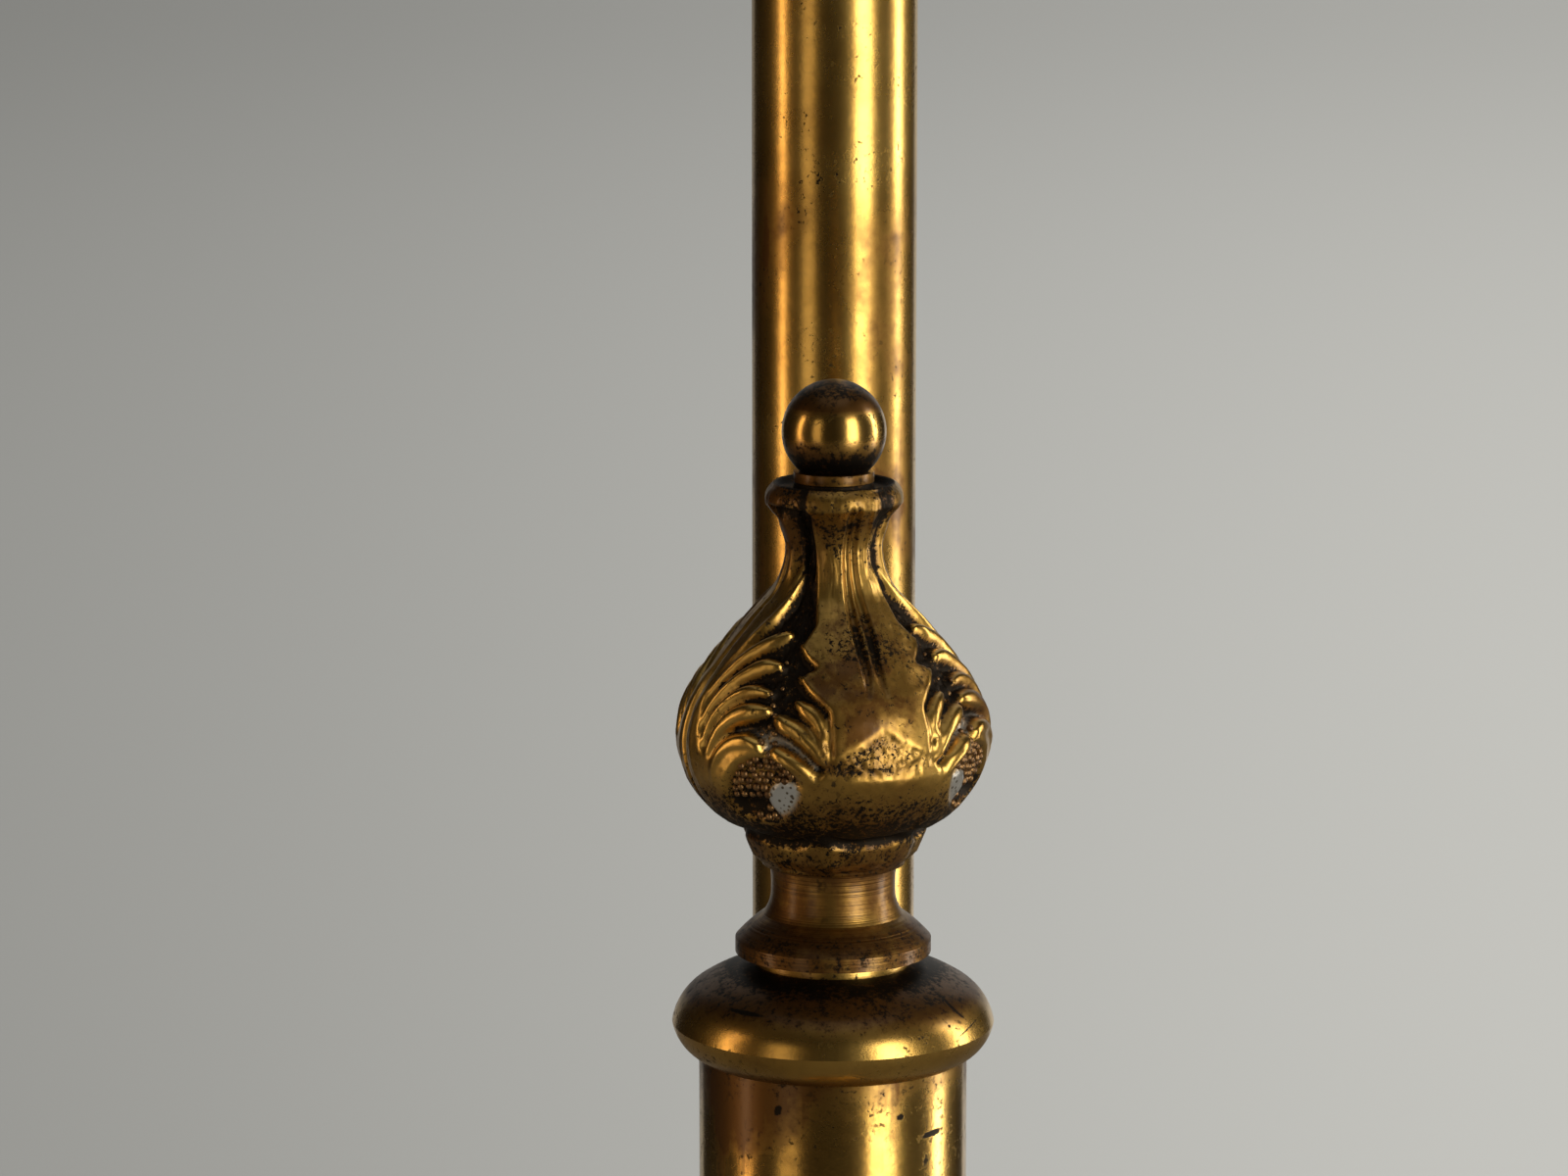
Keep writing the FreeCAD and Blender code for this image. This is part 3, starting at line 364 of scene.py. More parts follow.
# radius, height and radius of the arc that leads here (0 straight, minus hollow)
BULB_OUTLINE = (
    (3.0, 0.0, 0), (6.6, 0.0, 0), (7.8, 1.2, 0), (8.75, 3.4, 0), (14.77, 12.25, 9.65), (12.07, 18.75, 11.7),
    (6.6, 25.2, 69), (4.6, 29.9, -6.2), (6.5, 33.7, -8.3), (6.15, 35.3, 1.6), (5.5, 35.7, 0.9),
    (4.9, 35.05, 0), (3.75, 35.0, 0), (3.6, 35.75, 0), (3.0, 35.75, 0),
)
RIM_POINT = 10            # number of the outline's point on top of the lip, where the dish begins
# corners (psi, height) of the plain leaf's half, and of the recess between it and the fronds
LEAF_BODY = [
    (-8, 34), (43, 34), (41.5, 30), (37.5, 26.5), (34.5, 25), (32.5, 24), (35.5, 23.2), (38.5, 22.3),
    (33, 21.4), (27.5, 20.6), (32, 20.3), (35.5, 19.7), (30, 18.9), (25, 18.1), (21.5, 17.2), (20.5, 15.5),
    (20, 13), (17.5, 13.1), (9.5, 14.1), (0, 15.5), (-8, 15.5),
]
RECESS = [
    (41, 33.4), (40, 29.9), (35, 26.8), (30, 24), (25, 20.4), (18, 17), (19, 14), (21, 11.9), (27, 10.6),
    (34, 12.4), (47, 13.1), (58, 14.2), (70, 11.8), (76, 12.4), (80, 15), (82, 18), (79, 20.5), (72, 22.4),
    (66, 24.0), (62, 26), (62, 29.9), (61, 33.4),
]
# the raised strokes, each through (psi, height, half width, rise) points
FRONDS = (
    ((59, 28.0, 0.30, 1.0), (62, 26.0, 0.40, 1.3), (68, 24.2, 0.45, 1.35), (76, 22.0, 0.42, 1.3),
     (82, 19.6, 0.35, 1.1), (84, 17.5, 0.3, 0.8)),
    ((49.5, 23.1, 0.70, 1.05), (57, 22.5, 1.00, 1.35), (68, 21.4, 0.95, 1.38), (77, 19.6, 0.75, 1.3),
     (82, 17.6, 0.55, 1.1), (83, 15.0, 0.4, 0.7)),
    ((49, 20.6, 0.70, 1.05), (57, 20.4, 1.05, 1.35), (66, 19.4, 0.95, 1.38), (74, 17.6, 0.75, 1.3),
     (79, 15.6, 0.55, 1.1), (81, 13.0, 0.4, 0.7)),
    ((50, 18.4, 0.65, 1.0), (58, 18.3, 0.98, 1.35), (66, 17.4, 0.90, 1.38), (72, 15.8, 0.72, 1.3),
     (76, 13.8, 0.55, 1.1), (78, 11.0, 0.4, 0.7)),
    ((48, 16.8, 0.85, 1.15), (55, 16.5, 1.25, 1.5), (62, 15.8, 1.20, 1.55), (68, 14.2, 1.0, 1.45),
     (72, 12.2, 0.8, 1.25), (75, 9.3, 0.55, 0.9)),
    ((49, 13.5, 0.85, 1.3), (54, 13.8, 1.10, 1.55), (61, 13.3, 1.05, 1.5), (67, 11.7, 0.9, 1.4),
     (70.5, 9.6, 0.7, 1.25), (70, 7.0, 0.55, 1.0)),
)
FINGERS = (
    ((39, 22.4, 0.26, 1.2), (33, 21.5, 0.34, 1.32), (27, 20.7, 0.3, 1.2)),
    ((36, 19.9, 0.28, 1.2), (30, 18.9, 0.36, 1.34), (25, 18.1, 0.36, 1.3), (19.5, 16.9, 0.3, 1.2)),
    ((34, 17.7, 0.7, 0.95), (29, 17.0, 1.05, 1.2), (25, 16.1, 1.05, 1.2), (22, 14.6, 0.9, 1.05)),
    ((41, 16.1, 0.85, 1.15), (38, 15.7, 1.1, 1.42), (33, 15.1, 1.15, 1.45), (28.5, 14.2, 1.05, 1.38),
     (25, 13.2, 0.95, 1.25), (22.5, 12.2, 0.75, 1.0)),
    ((24.5, 14.7, 0.35, 1.1), (22.3, 13.6, 0.45, 1.25), (20.3, 12.5, 0.4, 1.0)),
    ((41, 13.0, 0.95, 1.2), (38, 12.6, 1.15, 1.42), (33.5, 11.9, 1.2, 1.42), (29.4, 11.1, 1.15, 1.36),
     (26.5, 10.3, 1.0, 1.25), (24.5, 9.5, 0.8, 1.0)),
)
STEMS = (
    ((68, 30.5, 0.55, 0.5), (72, 27.4, 0.55, 0.8), (77, 24.8, 0.6, 1.0), (82, 21.5, 0.65, 1.1),
     (84.5, 18, 0.8, 1.2), (84.5, 14, 0.95, 1.25), (83, 10, 1.0, 1.25), (80, 7, 1.0, 1.2),
     (74, 5.2, 0.9, 1.1)),
    ((76, 12, 0.7, 0.9), (76, 8.6, 0.75, 1.1), (71, 6.2, 0.8, 1.15), (60, 4.9, 0.85, 1.2),
     (48, 4.7, 0.8, 1.2), (38, 5.5, 0.75, 1.2), (32.5, 7.2, 0.6, 1.1), (30, 9.4, 0.45, 0.9),
     (30.5, 11.2, 0.4, 0.8)),
)
STROKE_SINK = 1.45        # how far below the profile the strokes' rise starts, in mm
# the same for the grooves: down the stems' middle, and down the leaf's middle
GROOVES = (
    ((90, 30, 0.35, 0.25), (90, 24, 0.4, 0.7), (90, 16, 0.45, 0.9), (90, 6, 0.45, 0.7), (90, 4, 0.3, 0.3)),
    ((3, 34, 0.35, 0.3), (4, 28, 0.5, 0.4), (4.5, 24, 0.6, 0.5), (3, 20.5, 0.5, 0.35),
     (4, 18.2, 0.35, 0.12)),
)
EYE = (47.5, 9.2, 4.45, 3.95)       # leaf angle, height, half width and half height in mm
EYE_SLANT = 0.25                    # how much the eye climbs across its width
PAD_EDGE = (1.08, 0.94)             # the smooth pad in the eye fades out between these shares of its reach
# leaf angle, height and radius in mm of the pearls above the eye
UPPER_PEARLS = (
    (46, 17.6, 0.33), (46, 15.6, 0.34), (43.5, 15.1, 0.32), (47.5, 13.9, 0.38), (43, 14.0, 0.30),
    (44, 12.9, 0.30), (45, 19.2, 0.24), (44.5, 16.6, 0.27), (49, 15.0, 0.26), (46.5, 21.2, 0.22),
    (48, 18.4, 0.22),
)
# the pearls in the eye: each ring's share of the eye's size, and its number of pearls
PEARL_RINGS = ((0.0, 1), (0.2, 6), (0.4, 12), (0.6, 18), (0.78, 23))
PEARL_RADIUS = 0.41                 # of the pearl in the eye's middle, in mm
PEARL_SINK = 0.06                   # how far a pearl's middle is under the surface, in mm
EYE_RADIUS = 14.3                   # the bulb's radius at the eye, in mm
PEARL_CUTS = 6                      # a pearl's rows of faces
PEARL_SIDES = 10
SPLINE_STEPS = 5                    # from one given point of a stroke to the next


def sample_outline(outline, step):
    """Points along straight and round stretches, about one step apart."""
    samples = [np.array(outline[0][:2], float)]
    for (r0, h0, _), (r1, h1, bend) in zip(outline, outline[1:]):
        start, end = np.array((r0, h0), float), np.array((r1, h1), float)
        span = end - start
        length = np.hypot(*span)
        count = max(1, round(length / step))
        share = np.arange(1, count + 1) / count
        if bend == 0:
            samples += [start + span * t for t in share]
            continue
        left = np.array((-span[1], span[0])) / length
        radius = abs(bend)
        centre = (start + end) / 2 + math.copysign(1, bend) * left * math.sqrt(radius ** 2 - length ** 2 / 4)
        first = math.atan2(*(start - centre)[::-1])
        sweep = math.atan2(*(end - centre)[::-1]) - first
        sweep = (sweep + math.pi) % (2 * math.pi) - math.pi
        samples += [centre + radius * np.array((math.cos(first + sweep * t), math.sin(first + sweep * t)))
                    for t in share]
    return np.array(samples)


def smooth(low, high, value):
    """0 at low, 1 at high, with soft ends. Low may be above high."""
    t = np.clip((value - low) / (high - low), 0, 1)
    return t * t * (3 - 2 * t)


def peak(value, middle, width):
    """1 at the middle, falling off softly about one width to either side."""
    return np.exp(-((value - middle) / width) ** 2)


def rounded(points):
    """The same run of points with the corners rounded by a spline through them."""
    knots = np.array([points[0], *points, points[-1]], float)
    fine = []
    for a, b, c, d in zip(knots, knots[1:], knots[2:], knots[3:]):
        for t in np.arange(SPLINE_STEPS) / SPLINE_STEPS:
            fine.append(0.5 * (2 * b + (c - a) * t + (2 * a - 5 * b + 4 * c - d) * t ** 2
                               + (3 * b - a - 3 * c + d) * t ** 3))
    return np.vstack((fine, knots[-1]))


class Relief:
    """The grid that the relief is drawn on: turn round the bulb by distance along its profile."""

    def __init__(self):
        self.profile = sample_outline(BULB_OUTLINE, ROW_STEP)
        steps = np.hypot(*np.diff(self.profile, axis=0).T)
        self.along = np.concatenate(([0], np.cumsum(steps)))
        self.turn = np.arange(COLUMNS) * 360.0 / COLUMNS
        away = (self.turn - LEAF_TURN) % 180
        self.psi = np.minimum(away, 180 - away)
        # as psi, but signed: plus towards the left
        self.lean = np.where(away < 90, -away, 180 - away)[None, :]
        # u and v: mm round the bulb from the leaf's middle, and mm along the profile. Scale: mm per degree.
        radius = self.profile[:, 0]
        self.u = np.radians(self.psi)[None, :] * radius[:, None]
        self.v = np.repeat(self.along[:, None], COLUMNS, axis=1)
        self.scale = np.radians(1) * radius[:, None]
        self.height = np.repeat(self.profile[:, 1][:, None], COLUMNS, axis=1)
        outer = slice(len(sample_outline(BULB_OUTLINE[:2], ROW_STEP)) - 1,
                      len(sample_outline(BULB_OUTLINE[:RIM_POINT + 1], ROW_STEP)))
        self.outer_height = self.profile[outer, 1]
        self.outer_along = self.along[outer]

    def s(self, height):
        """Distance along the profile at a height."""
        return np.interp(height, self.outer_height, self.outer_along)

    def ripple(self, *waves):
        """A wavy line round the bulb: the sum of (how many, where it starts, how high) waves."""
        total = sum(high * np.cos(np.radians(self.turn * count + start)) for count, start, high in waves)
        return total[None, :]

    def stroke(self, points, round_power=0.6):
        """A rounded ridge through (psi, height, half width, rise) points."""
        best = np.zeros_like(self.u)
        points = rounded(points)
        for (p0, h0, w0, a0), (p1, h1, w1, a1) in zip(points, points[1:]):
            u0, v0, u1, v1 = p0 * self.scale, self.s(h0), p1 * self.scale, self.s(h1)
            du, dv = u1 - u0, v1 - v0
            t = np.clip(((self.u - u0) * du + (self.v - v0) * dv) / (du * du + dv * dv), 0, 1)
            gap = np.hypot(self.u - u0 - t * du, self.v - v0 - t * dv)
            q = gap / (w0 + (w1 - w0) * t)
            best = np.maximum(best, (a0 + (a1 - a0) * t) * np.clip(1 - q * q, 0, 1) ** round_power)
        return best

    def region(self, corners):
        """Signed distance (mm, plus inside) to a closed (psi, height) outline."""
        inside = np.zeros(self.u.shape, bool)
        gap = np.full(self.u.shape, 1e9)
        for (p0, h0), (p1, h1) in zip(corners, corners[1:] + corners[:1]):
            u0, v0, u1, v1 = p0 * self.scale, self.s(h0), p1 * self.scale, self.s(h1)
            du, dv = u1 - u0, v1 - v0
            t = np.clip(((self.u - u0) * du + (self.v - v0) * dv) / (du * du + dv * dv + 1e-9), 0, 1)
            gap = np.minimum(gap, np.hypot(self.u - u0 - t * du, self.v - v0 - t * dv))
            crosses = (v0 > self.v) != (v1 > self.v)
            at = u0 + (self.v - v0) / (dv if abs(dv) > 1e-9 else 1e-9) * du
            inside ^= crosses & (self.u < at)
        return np.where(inside, gap, -gap)


def pad_reach(across, upward):
    """How far a place in the eye is from the pad's middle, 1 at the pad's edge."""
    return np.hypot((across + 0.52) / 0.42, (upward + 0.38) / 0.50)


def ground(relief):
    """The plain leaf, the recess beside it and the lower bulb, with the masks that later steps need."""
    height, psi = relief.height, relief.psi[None, :]
    neck = smooth(25, 28, height)
    recess = smooth(-0.35, 0.45, relief.region(RECESS))
    body = relief.region(LEAF_BODY)
    leaf = smooth(-0.25, 0.3, body)
    bottom = -(1.5 - 0.75 * neck)
    plain = -0.30 + 0.15 * neck
    shape = plain * (1 - recess) + bottom * recess
    shape = np.maximum(shape, bottom + (plain - bottom) * leaf)
    # the plain leaf steps down to the lower bulb, which has a flat of its own
    below_leaf = smooth(0.0, 0.9, -body) * smooth(26, 19, psi)
    wedge = smooth(10.6, 11.3, height) * smooth(17, 15.5, height) * below_leaf
    shape = shape - 0.32 * wedge
    shape = shape - 0.16 * smooth(10.9, 7.5, height) * smooth(26, 20, psi)
    return shape, recess, leaf, wedge


def sink_eye(relief, shape):
    """The eye's pit with a deeper hollow in it, and the smooth pad beside the hollow."""
    eye_psi, eye_height, half_width, half_height = EYE
    across = (relief.u - eye_psi * relief.scale) / half_width
    upward = (relief.v - relief.s(eye_height)) / half_height + across * EYE_SLANT
    eye = np.hypot(across, upward)
    pit = smooth(1.0, 0.78, eye)
    hollow = peak(across, 0.35, 0.4) * peak(upward, -0.45, 0.25)
    shape = shape * (1 - pit) + (-1.15 + 0.30 * eye * eye - 0.45 * hollow) * pit
    pad = smooth(*PAD_EDGE, pad_reach(across, upward)) * pit
    shape = shape * (1 - pad) + (-0.80 - 0.25 * across) * pad
    return shape, pit, pad


def raise_strokes(relief, shape):
    """The fronds, fingers and stems, with edges as soft as cast ones, and the grooves cut after them."""
    for points in FRONDS + FINGERS + STEMS:
        shape = np.maximum(shape, relief.stroke(points) - STROKE_SINK)
    for _ in range(2):
        shape = (2 * shape + np.roll(shape, 1, 1) + np.roll(shape, -1, 1) + np.roll(shape, 1, 0)
                 + np.roll(shape, -1, 0)) / 6
    for points in GROOVES:
        shape = shape - relief.stroke(points, 1.0)
    return shape


def shape_neck(relief, shape):
    """The neck's strips, which stand proud of the hollows beside them, most clearly on the left."""
    height, lean = relief.height, relief.lean
    hollows = (0.75 * smooth(41, 46, lean) * smooth(80, 68, lean)
               + 0.45 * smooth(-22, -26, lean) * smooth(-70, -50, lean)) * smooth(26.5, 29, height)
    flare = smooth(34.0, 31.5, height)
    shape = shape - hollows * (0.25 + 0.75 * flare)
    right_edge = -22 + 5 * smooth(31.5, 34, height)
    edges = peak(lean, 40, 1.7) + peak(lean, right_edge, 1.9)
    shape = shape + 0.13 * edges * smooth(27, 29, height) * smooth(35.2, 34.4, height)
    undercut = peak(height - 0.006 * lean, 32.7, 0.55)
    undercut = undercut * (smooth(36, 46, lean) + 0.25 * smooth(-25, -35, lean))
    return shape - 0.75 * undercut, hollows, undercut


def shape_ends(relief, shape):
    """The scalloped skirt with the crease above it, and the uneven lip."""
    height = relief.height
    wave = relief.ripple((7, 40, 1.0), (11, 110, 0.6))
    skirt = smooth(4.2, 3.2, height) * smooth(-0.2, 0.6, height)
    crease = peak(height - 0.28 * wave, 3.5, 0.38)
    shape = shape * (1 - skirt) + (-0.09 + 0.15 * wave) * skirt - 0.55 * crease
    lip = smooth(33.0, 34.2, height)
    lip_wave = relief.ripple((3, 200, 1.0), (8, 20, 0.7))
    shape = shape * (1 - 0.7 * lip) - (0.14 + 0.08 * lip_wave) * lip
    return shape, crease


def cast_grain(shape, rough):
    """Sand-cast grain, coarse where rough is 1, on slow swells."""
    grain = RNG.normal(0, 0.07, shape.shape)
    grain = (grain + np.roll(grain, 1, 0) + np.roll(grain, 1, 1)) / 2
    swell = RNG.normal(0, 1, shape.shape)
    for _ in range(12):
        swell = (swell + np.roll(swell, 1, 0) + np.roll(swell, 1, 1) + np.roll(swell, -1, 0)
                 + np.roll(swell, -1, 1)) / 5
    return shape + grain * (0.10 + 0.9 * rough) + 0.10 * swell


def soil_and_shade(relief, plain_leaf, wedge, hollows, undercut):
    """Dirt and painted shade: darker on the lower bulb, round the neck and on the plain leaf, with painted
    shade under the leaf's lower edge and painted shadow under the lip.
    """
    height, lean, psi = relief.height, relief.lean, relief.psi[None, :]
    lower = 0.58 * smooth(10.4, 6.8, height) + 0.27 * smooth(6.5, 4.5, height)
    strips = smooth(43.5, 41, lean) * smooth(-24.5, -22, lean)
    return (lower * (0.5 + 0.5 * smooth(3.0, 4.2, height))                       # the lower bulb
            + 0.16 * plain_leaf
            + 0.60 * peak(lean, -31, 8) * smooth(30.5, 32.0, height)             # right of the neck's top
            # a band across the neck's front
            + 0.30 * peak(height, 31.6, 1.3) * smooth(-16, -5, lean) * smooth(34, 28, lean)
            + 0.18 * smooth(26, 29, height)                                      # the whole neck
            + 0.50 * wedge * (0.6 + 0.4 * smooth(-8, 8, lean))                   # painted shade under the leaf's lower edge, which faces down
            + 0.55 * np.clip(hollows, 0, 1)
            # painted shadow under the lip
            + undercut
            # a line down the left strip's edge
            + 0.6 * smooth(40.5, 43, lean) * smooth(52, 46, lean) * smooth(25, 28, height)
            + 0.10 * strips * smooth(27, 29, height)
            + 0.35 * peak(height, 22.0, 1.6) * smooth(30, 12, psi)               # across the leaf
            + 0.30 * peak(height, 23.0, 3.0) * peak(psi, 4, 5))                  # along its vein


def bulb_layers(relief):
    """How far the cast surface stands below (minus) the bulb's profile, how dirty or painted dark each place
    is, and where a pale reflection is painted.
    """
    height = relief.height
    shape, recess, leaf, wedge = ground(relief)
    shape, pit, pad = sink_eye(relief, shape)
    shape = raise_strokes(relief, shape)
    shape, hollows, undercut = shape_neck(relief, shape)
    shape, crease = shape_ends(relief, shape)
    rough = np.clip(recess * smooth(-0.7, -1.1, shape) + 0.8 * wedge + 0.35 * hollows, 0, 1)
    shape = cast_grain(shape, rough)
    plain_leaf = leaf * smooth(27, 24, height)
    soiled_and_shaded = soil_and_shade(relief, plain_leaf, wedge, hollows, undercut)
    # painted reflection: the eye's pad and the low recess floor are marked to look pale, standing in for a
    # reflection of the pale surround
    low_recess_sheen = 0.6 * recess * smooth(-1.0, -1.3, shape) * smooth(15.5, 14.0, height) * (1 - pit)
    painted_pale_sheen = np.maximum(pad, low_recess_sheen)
    return dict(shape=shape, recess=recess, pit=pit, crease=crease, painted_pale_sheen=painted_pale_sheen, soiled_and_shaded=soiled_and_shaded, leaf=plain_leaf)


def wear_and_painted_light(relief, layers, shape):
    """The attributes that the material reads: dirt with painted shade, rubbed crowns, a painted pale
    reflection on the eye's pad and the low recess, and the plain leaf.
    """
    blurred = shape.copy()
    for _ in range(14):
        below = np.vstack((blurred[:1], blurred[:-1]))
        above = np.vstack((blurred[1:], blurred[-1:]))
        blurred = (blurred + np.roll(blurred, 1, 1) + np.roll(blurred, -1, 1) + below + above) / 5
    cavity = np.clip((blurred - shape) * 1.1 - 0.05, 0, 1)
    recess = layers["recess"]
    # dirt in the hollows, with painted shadow in the crease under the bulb's belly and the painted shade that
    # the soil step adds
    dirt_and_shade = (0.15 * smooth(-0.5, -1.3, shape)
            + 0.55 * recess * smooth(-0.7, -1.15, shape)
            + 0.45 * recess * smooth(14.5, 18, relief.height) * smooth(-0.5, -1.0, shape)
            + 0.4 * layers["pit"] + 0.8 * layers["crease"] + cavity + layers["soiled_and_shaded"])
    dirt_and_shade = np.clip(dirt_and_shade, 0, 1) * (1 - layers["painted_pale_sheen"])
    dish = np.repeat((relief.along > relief.outer_along[-1] - 0.1)[:, None], COLUMNS, axis=1)
    dirt_and_shade = np.where(dish, 1.0, dirt_and_shade)
    low_leaf = smooth(26, 22, relief.psi)[None, :] * smooth(17, 15, relief.height)
    crown = np.clip((shape - blurred) * 1.2, 0, 1) * ~dish * (1 - 0.8 * low_leaf)
    return (("cavity", dirt_and_shade), ("crown", crown), ("painted_pale_sheen", layers["painted_pale_sheen"]), ("leaf", layers["leaf"]))


def make_bulb():
    """The cast bulb: the profile turned round the axis, with the relief on its outer side."""
    relief = Relief()
    layers = bulb_layers(relief)
    profile = relief.profile
    first, last = relief.outer_along[0], relief.outer_along[-1]
    ends = smooth(first, first + 0.4, relief.along) * smooth(last, last - 0.4, relief.along)
    shape = np.minimum(layers["shape"], 0.0) * ends[:, None]
    tangent = np.gradient(profile, axis=0)
    tangent /= np.hypot(*tangent.T)[:, None]
    normal = np.stack((tangent[:, 1], -tangent[:, 0]), axis=1)
    radius = profile[:, 0][:, None] + normal[:, 0][:, None] * shape
    height = profile[:, 1][:, None] + normal[:, 1][:, None] * shape
    height = np.clip(height, 0, profile[-1, 1])
    turn = np.radians(relief.turn)
    points = np.stack((radius * np.sin(turn), -radius * np.cos(turn), height), axis=2).reshape(-1, 3) * MM
    points[:, 2] += BULB_FOOT_Z
    rows = len(profile)
    faces = []
    for i in range(rows):
        low, high = i * COLUMNS, (i + 1) % rows * COLUMNS
        for j in range(COLUMNS):
            after = (j + 1) % COLUMNS
            faces.append((low + j, low + after, high + after, high + j))
    bulb = new_object("bulb_relief", points.tolist(), faces)
    bulb.data.shade_smooth()
    for label, values in wear_and_painted_light(relief, layers, shape):
        layer = bulb.data.attributes.new(label, "FLOAT", "POINT")
        layer.data.foreach_set("value", values.reshape(-1).astype(np.float32))
    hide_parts("finial_bulb")
    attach(bulb, "root")
    return bulb, relief, shape, normal


def surface_point(relief, shape, normal, psi, height, quarter, lift):
    """A point on the cast surface at a leaf angle and height, in metres, in one of the four quarters."""
    turn = (LEAF_TURN - psi, LEAF_TURN + psi, LEAF_TURN + 180 - psi, LEAF_TURN + 180 + psi)[quarter]
    row = int(np.argmin(np.abs(relief.along - relief.s(height))))
    column = int(round(turn % 360 / 360 * COLUMNS)) % COLUMNS
    depth = shape[row, column] + lift
    radius = relief.profile[row, 0] + normal[row, 0] * depth
    z = relief.profile[row, 1] + normal[row, 1] * depth
    angle = math.radians(turn)
    place = np.array((radius * math.sin(angle), -radius * math.cos(angle), z)) * MM
    return place + np.array((0, 0, BULB_FOOT_Z))


def ball_mesh(centre, radius):
    """Points and faces of a small ball."""
    rings, sides = PEARL_CUTS, PEARL_SIDES
    points = []
    for i in range(1, rings):
        drop = math.pi * i / rings
        for j in range(sides):
            turn = 2 * math.pi * j / sides
            way = (math.sin(drop) * math.cos(turn), math.sin(drop) * math.sin(turn), math.cos(drop))
            points.append(centre + radius * np.array(way))
    top, bottom = centre + np.array((0, 0, radius)), centre - np.array((0, 0, radius))
    faces = []
    for i in range(rings - 2):
        low, high = i * sides, (i + 1) * sides
        for j in range(sides):
            after = (j + 1) % sides
            faces.append((low + j, high + j, high + after, low + after))
    last = (rings - 1) * sides
    base = (rings - 2) * sides
    faces += [(last, j, (j + 1) % sides) for j in range(sides)]
    faces += [(last + 1, base + (j + 1) % sides, base + j) for j in range(sides)]
    return points + [top, bottom], faces


def pearl_spots():
    """Leaf angle, height and radius of every pearl in a quarter: up the recess, and in rings in the eye."""
    eye_psi, eye_height, half_width, half_height = EYE
    spots = list(UPPER_PEARLS)
    for ring, count in PEARL_RINGS:
        for k in range(count):
            angle = 2 * math.pi * (k + 0.5 * ring) / count
            across, upward = ring * math.cos(angle), ring * math.sin(angle)
            in_hollow = math.hypot((across - 0.35) / 0.42, (upward + 0.45) / 0.26) < 1
            if pad_reach(across, upward) < 1.05 or in_hollow:
                continue
            psi = eye_psi + across * half_width / (EYE_RADIUS * math.radians(1))
            height = eye_height + (upward - across * EYE_SLANT) * half_height
            spots.append((psi, height, PEARL_RADIUS - 0.06 * ring))
    return spots


def make_pearls(relief, shape, normal):
    """Cast pearls in the eyes and up the dark recess above them."""
    spots = pearl_spots()
    points, faces = [], []
    for quarter in range(4):
        for psi, height, size in spots:
            size = size * RNG.uniform(0.85, 1.12)
            psi = psi + RNG.uniform(-0.6, 0.6)
            height = height + RNG.uniform(-0.12, 0.12)
            centre = surface_point(relief, shape, normal, psi, height, quarter, -PEARL_SINK)
            new_points, new_faces = ball_mesh(centre, size * MM)
            faces += [tuple(k + len(points) for k in face) for face in new_faces]
            points += new_points
    pearls = new_object("bulb_pearls", [tuple(point) for point in points], faces)
    pearls.data.shade_smooth()
    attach(pearls, "root")
    return pearls


# ---------------------------------------------------------------- materials
CLEAN = (0.80, 0.50, 0.125)
GOLD = (0.56, 0.325, 0.070)
BROWN = (0.155, 0.072, 0.018)
BLACK = (0.018, 0.012, 0.007)
PALE = (0.46, 0.43, 0.38)            # painted reflection of the pale surround, on the eye's pad and the low recess
PALE_DOTS = (0.10, 0.07, 0.04)
COAT_ROUGHNESS = 0.22
# noise scales, in features per metre
STAIN_SCALE = 70
PATCH_SCALE = 160
BLOTCH_SCALE = 330
FINE_SCALE = 900
SPECK_SCALE = 1700
DOT_SCALE = 1900
GRIT_SCALE = 2600
RUN_STRETCH = (260, 260, 22)         # streaks down a piece
RING_STRETCH = (8, 8, 2600)          # thin lines round a turned piece


def about_middle(paint, value, share):
    """A noise made to swing by share about zero."""
    return paint.math("MULTIPLY", paint.math("SUBTRACT", value, 0.5), share)


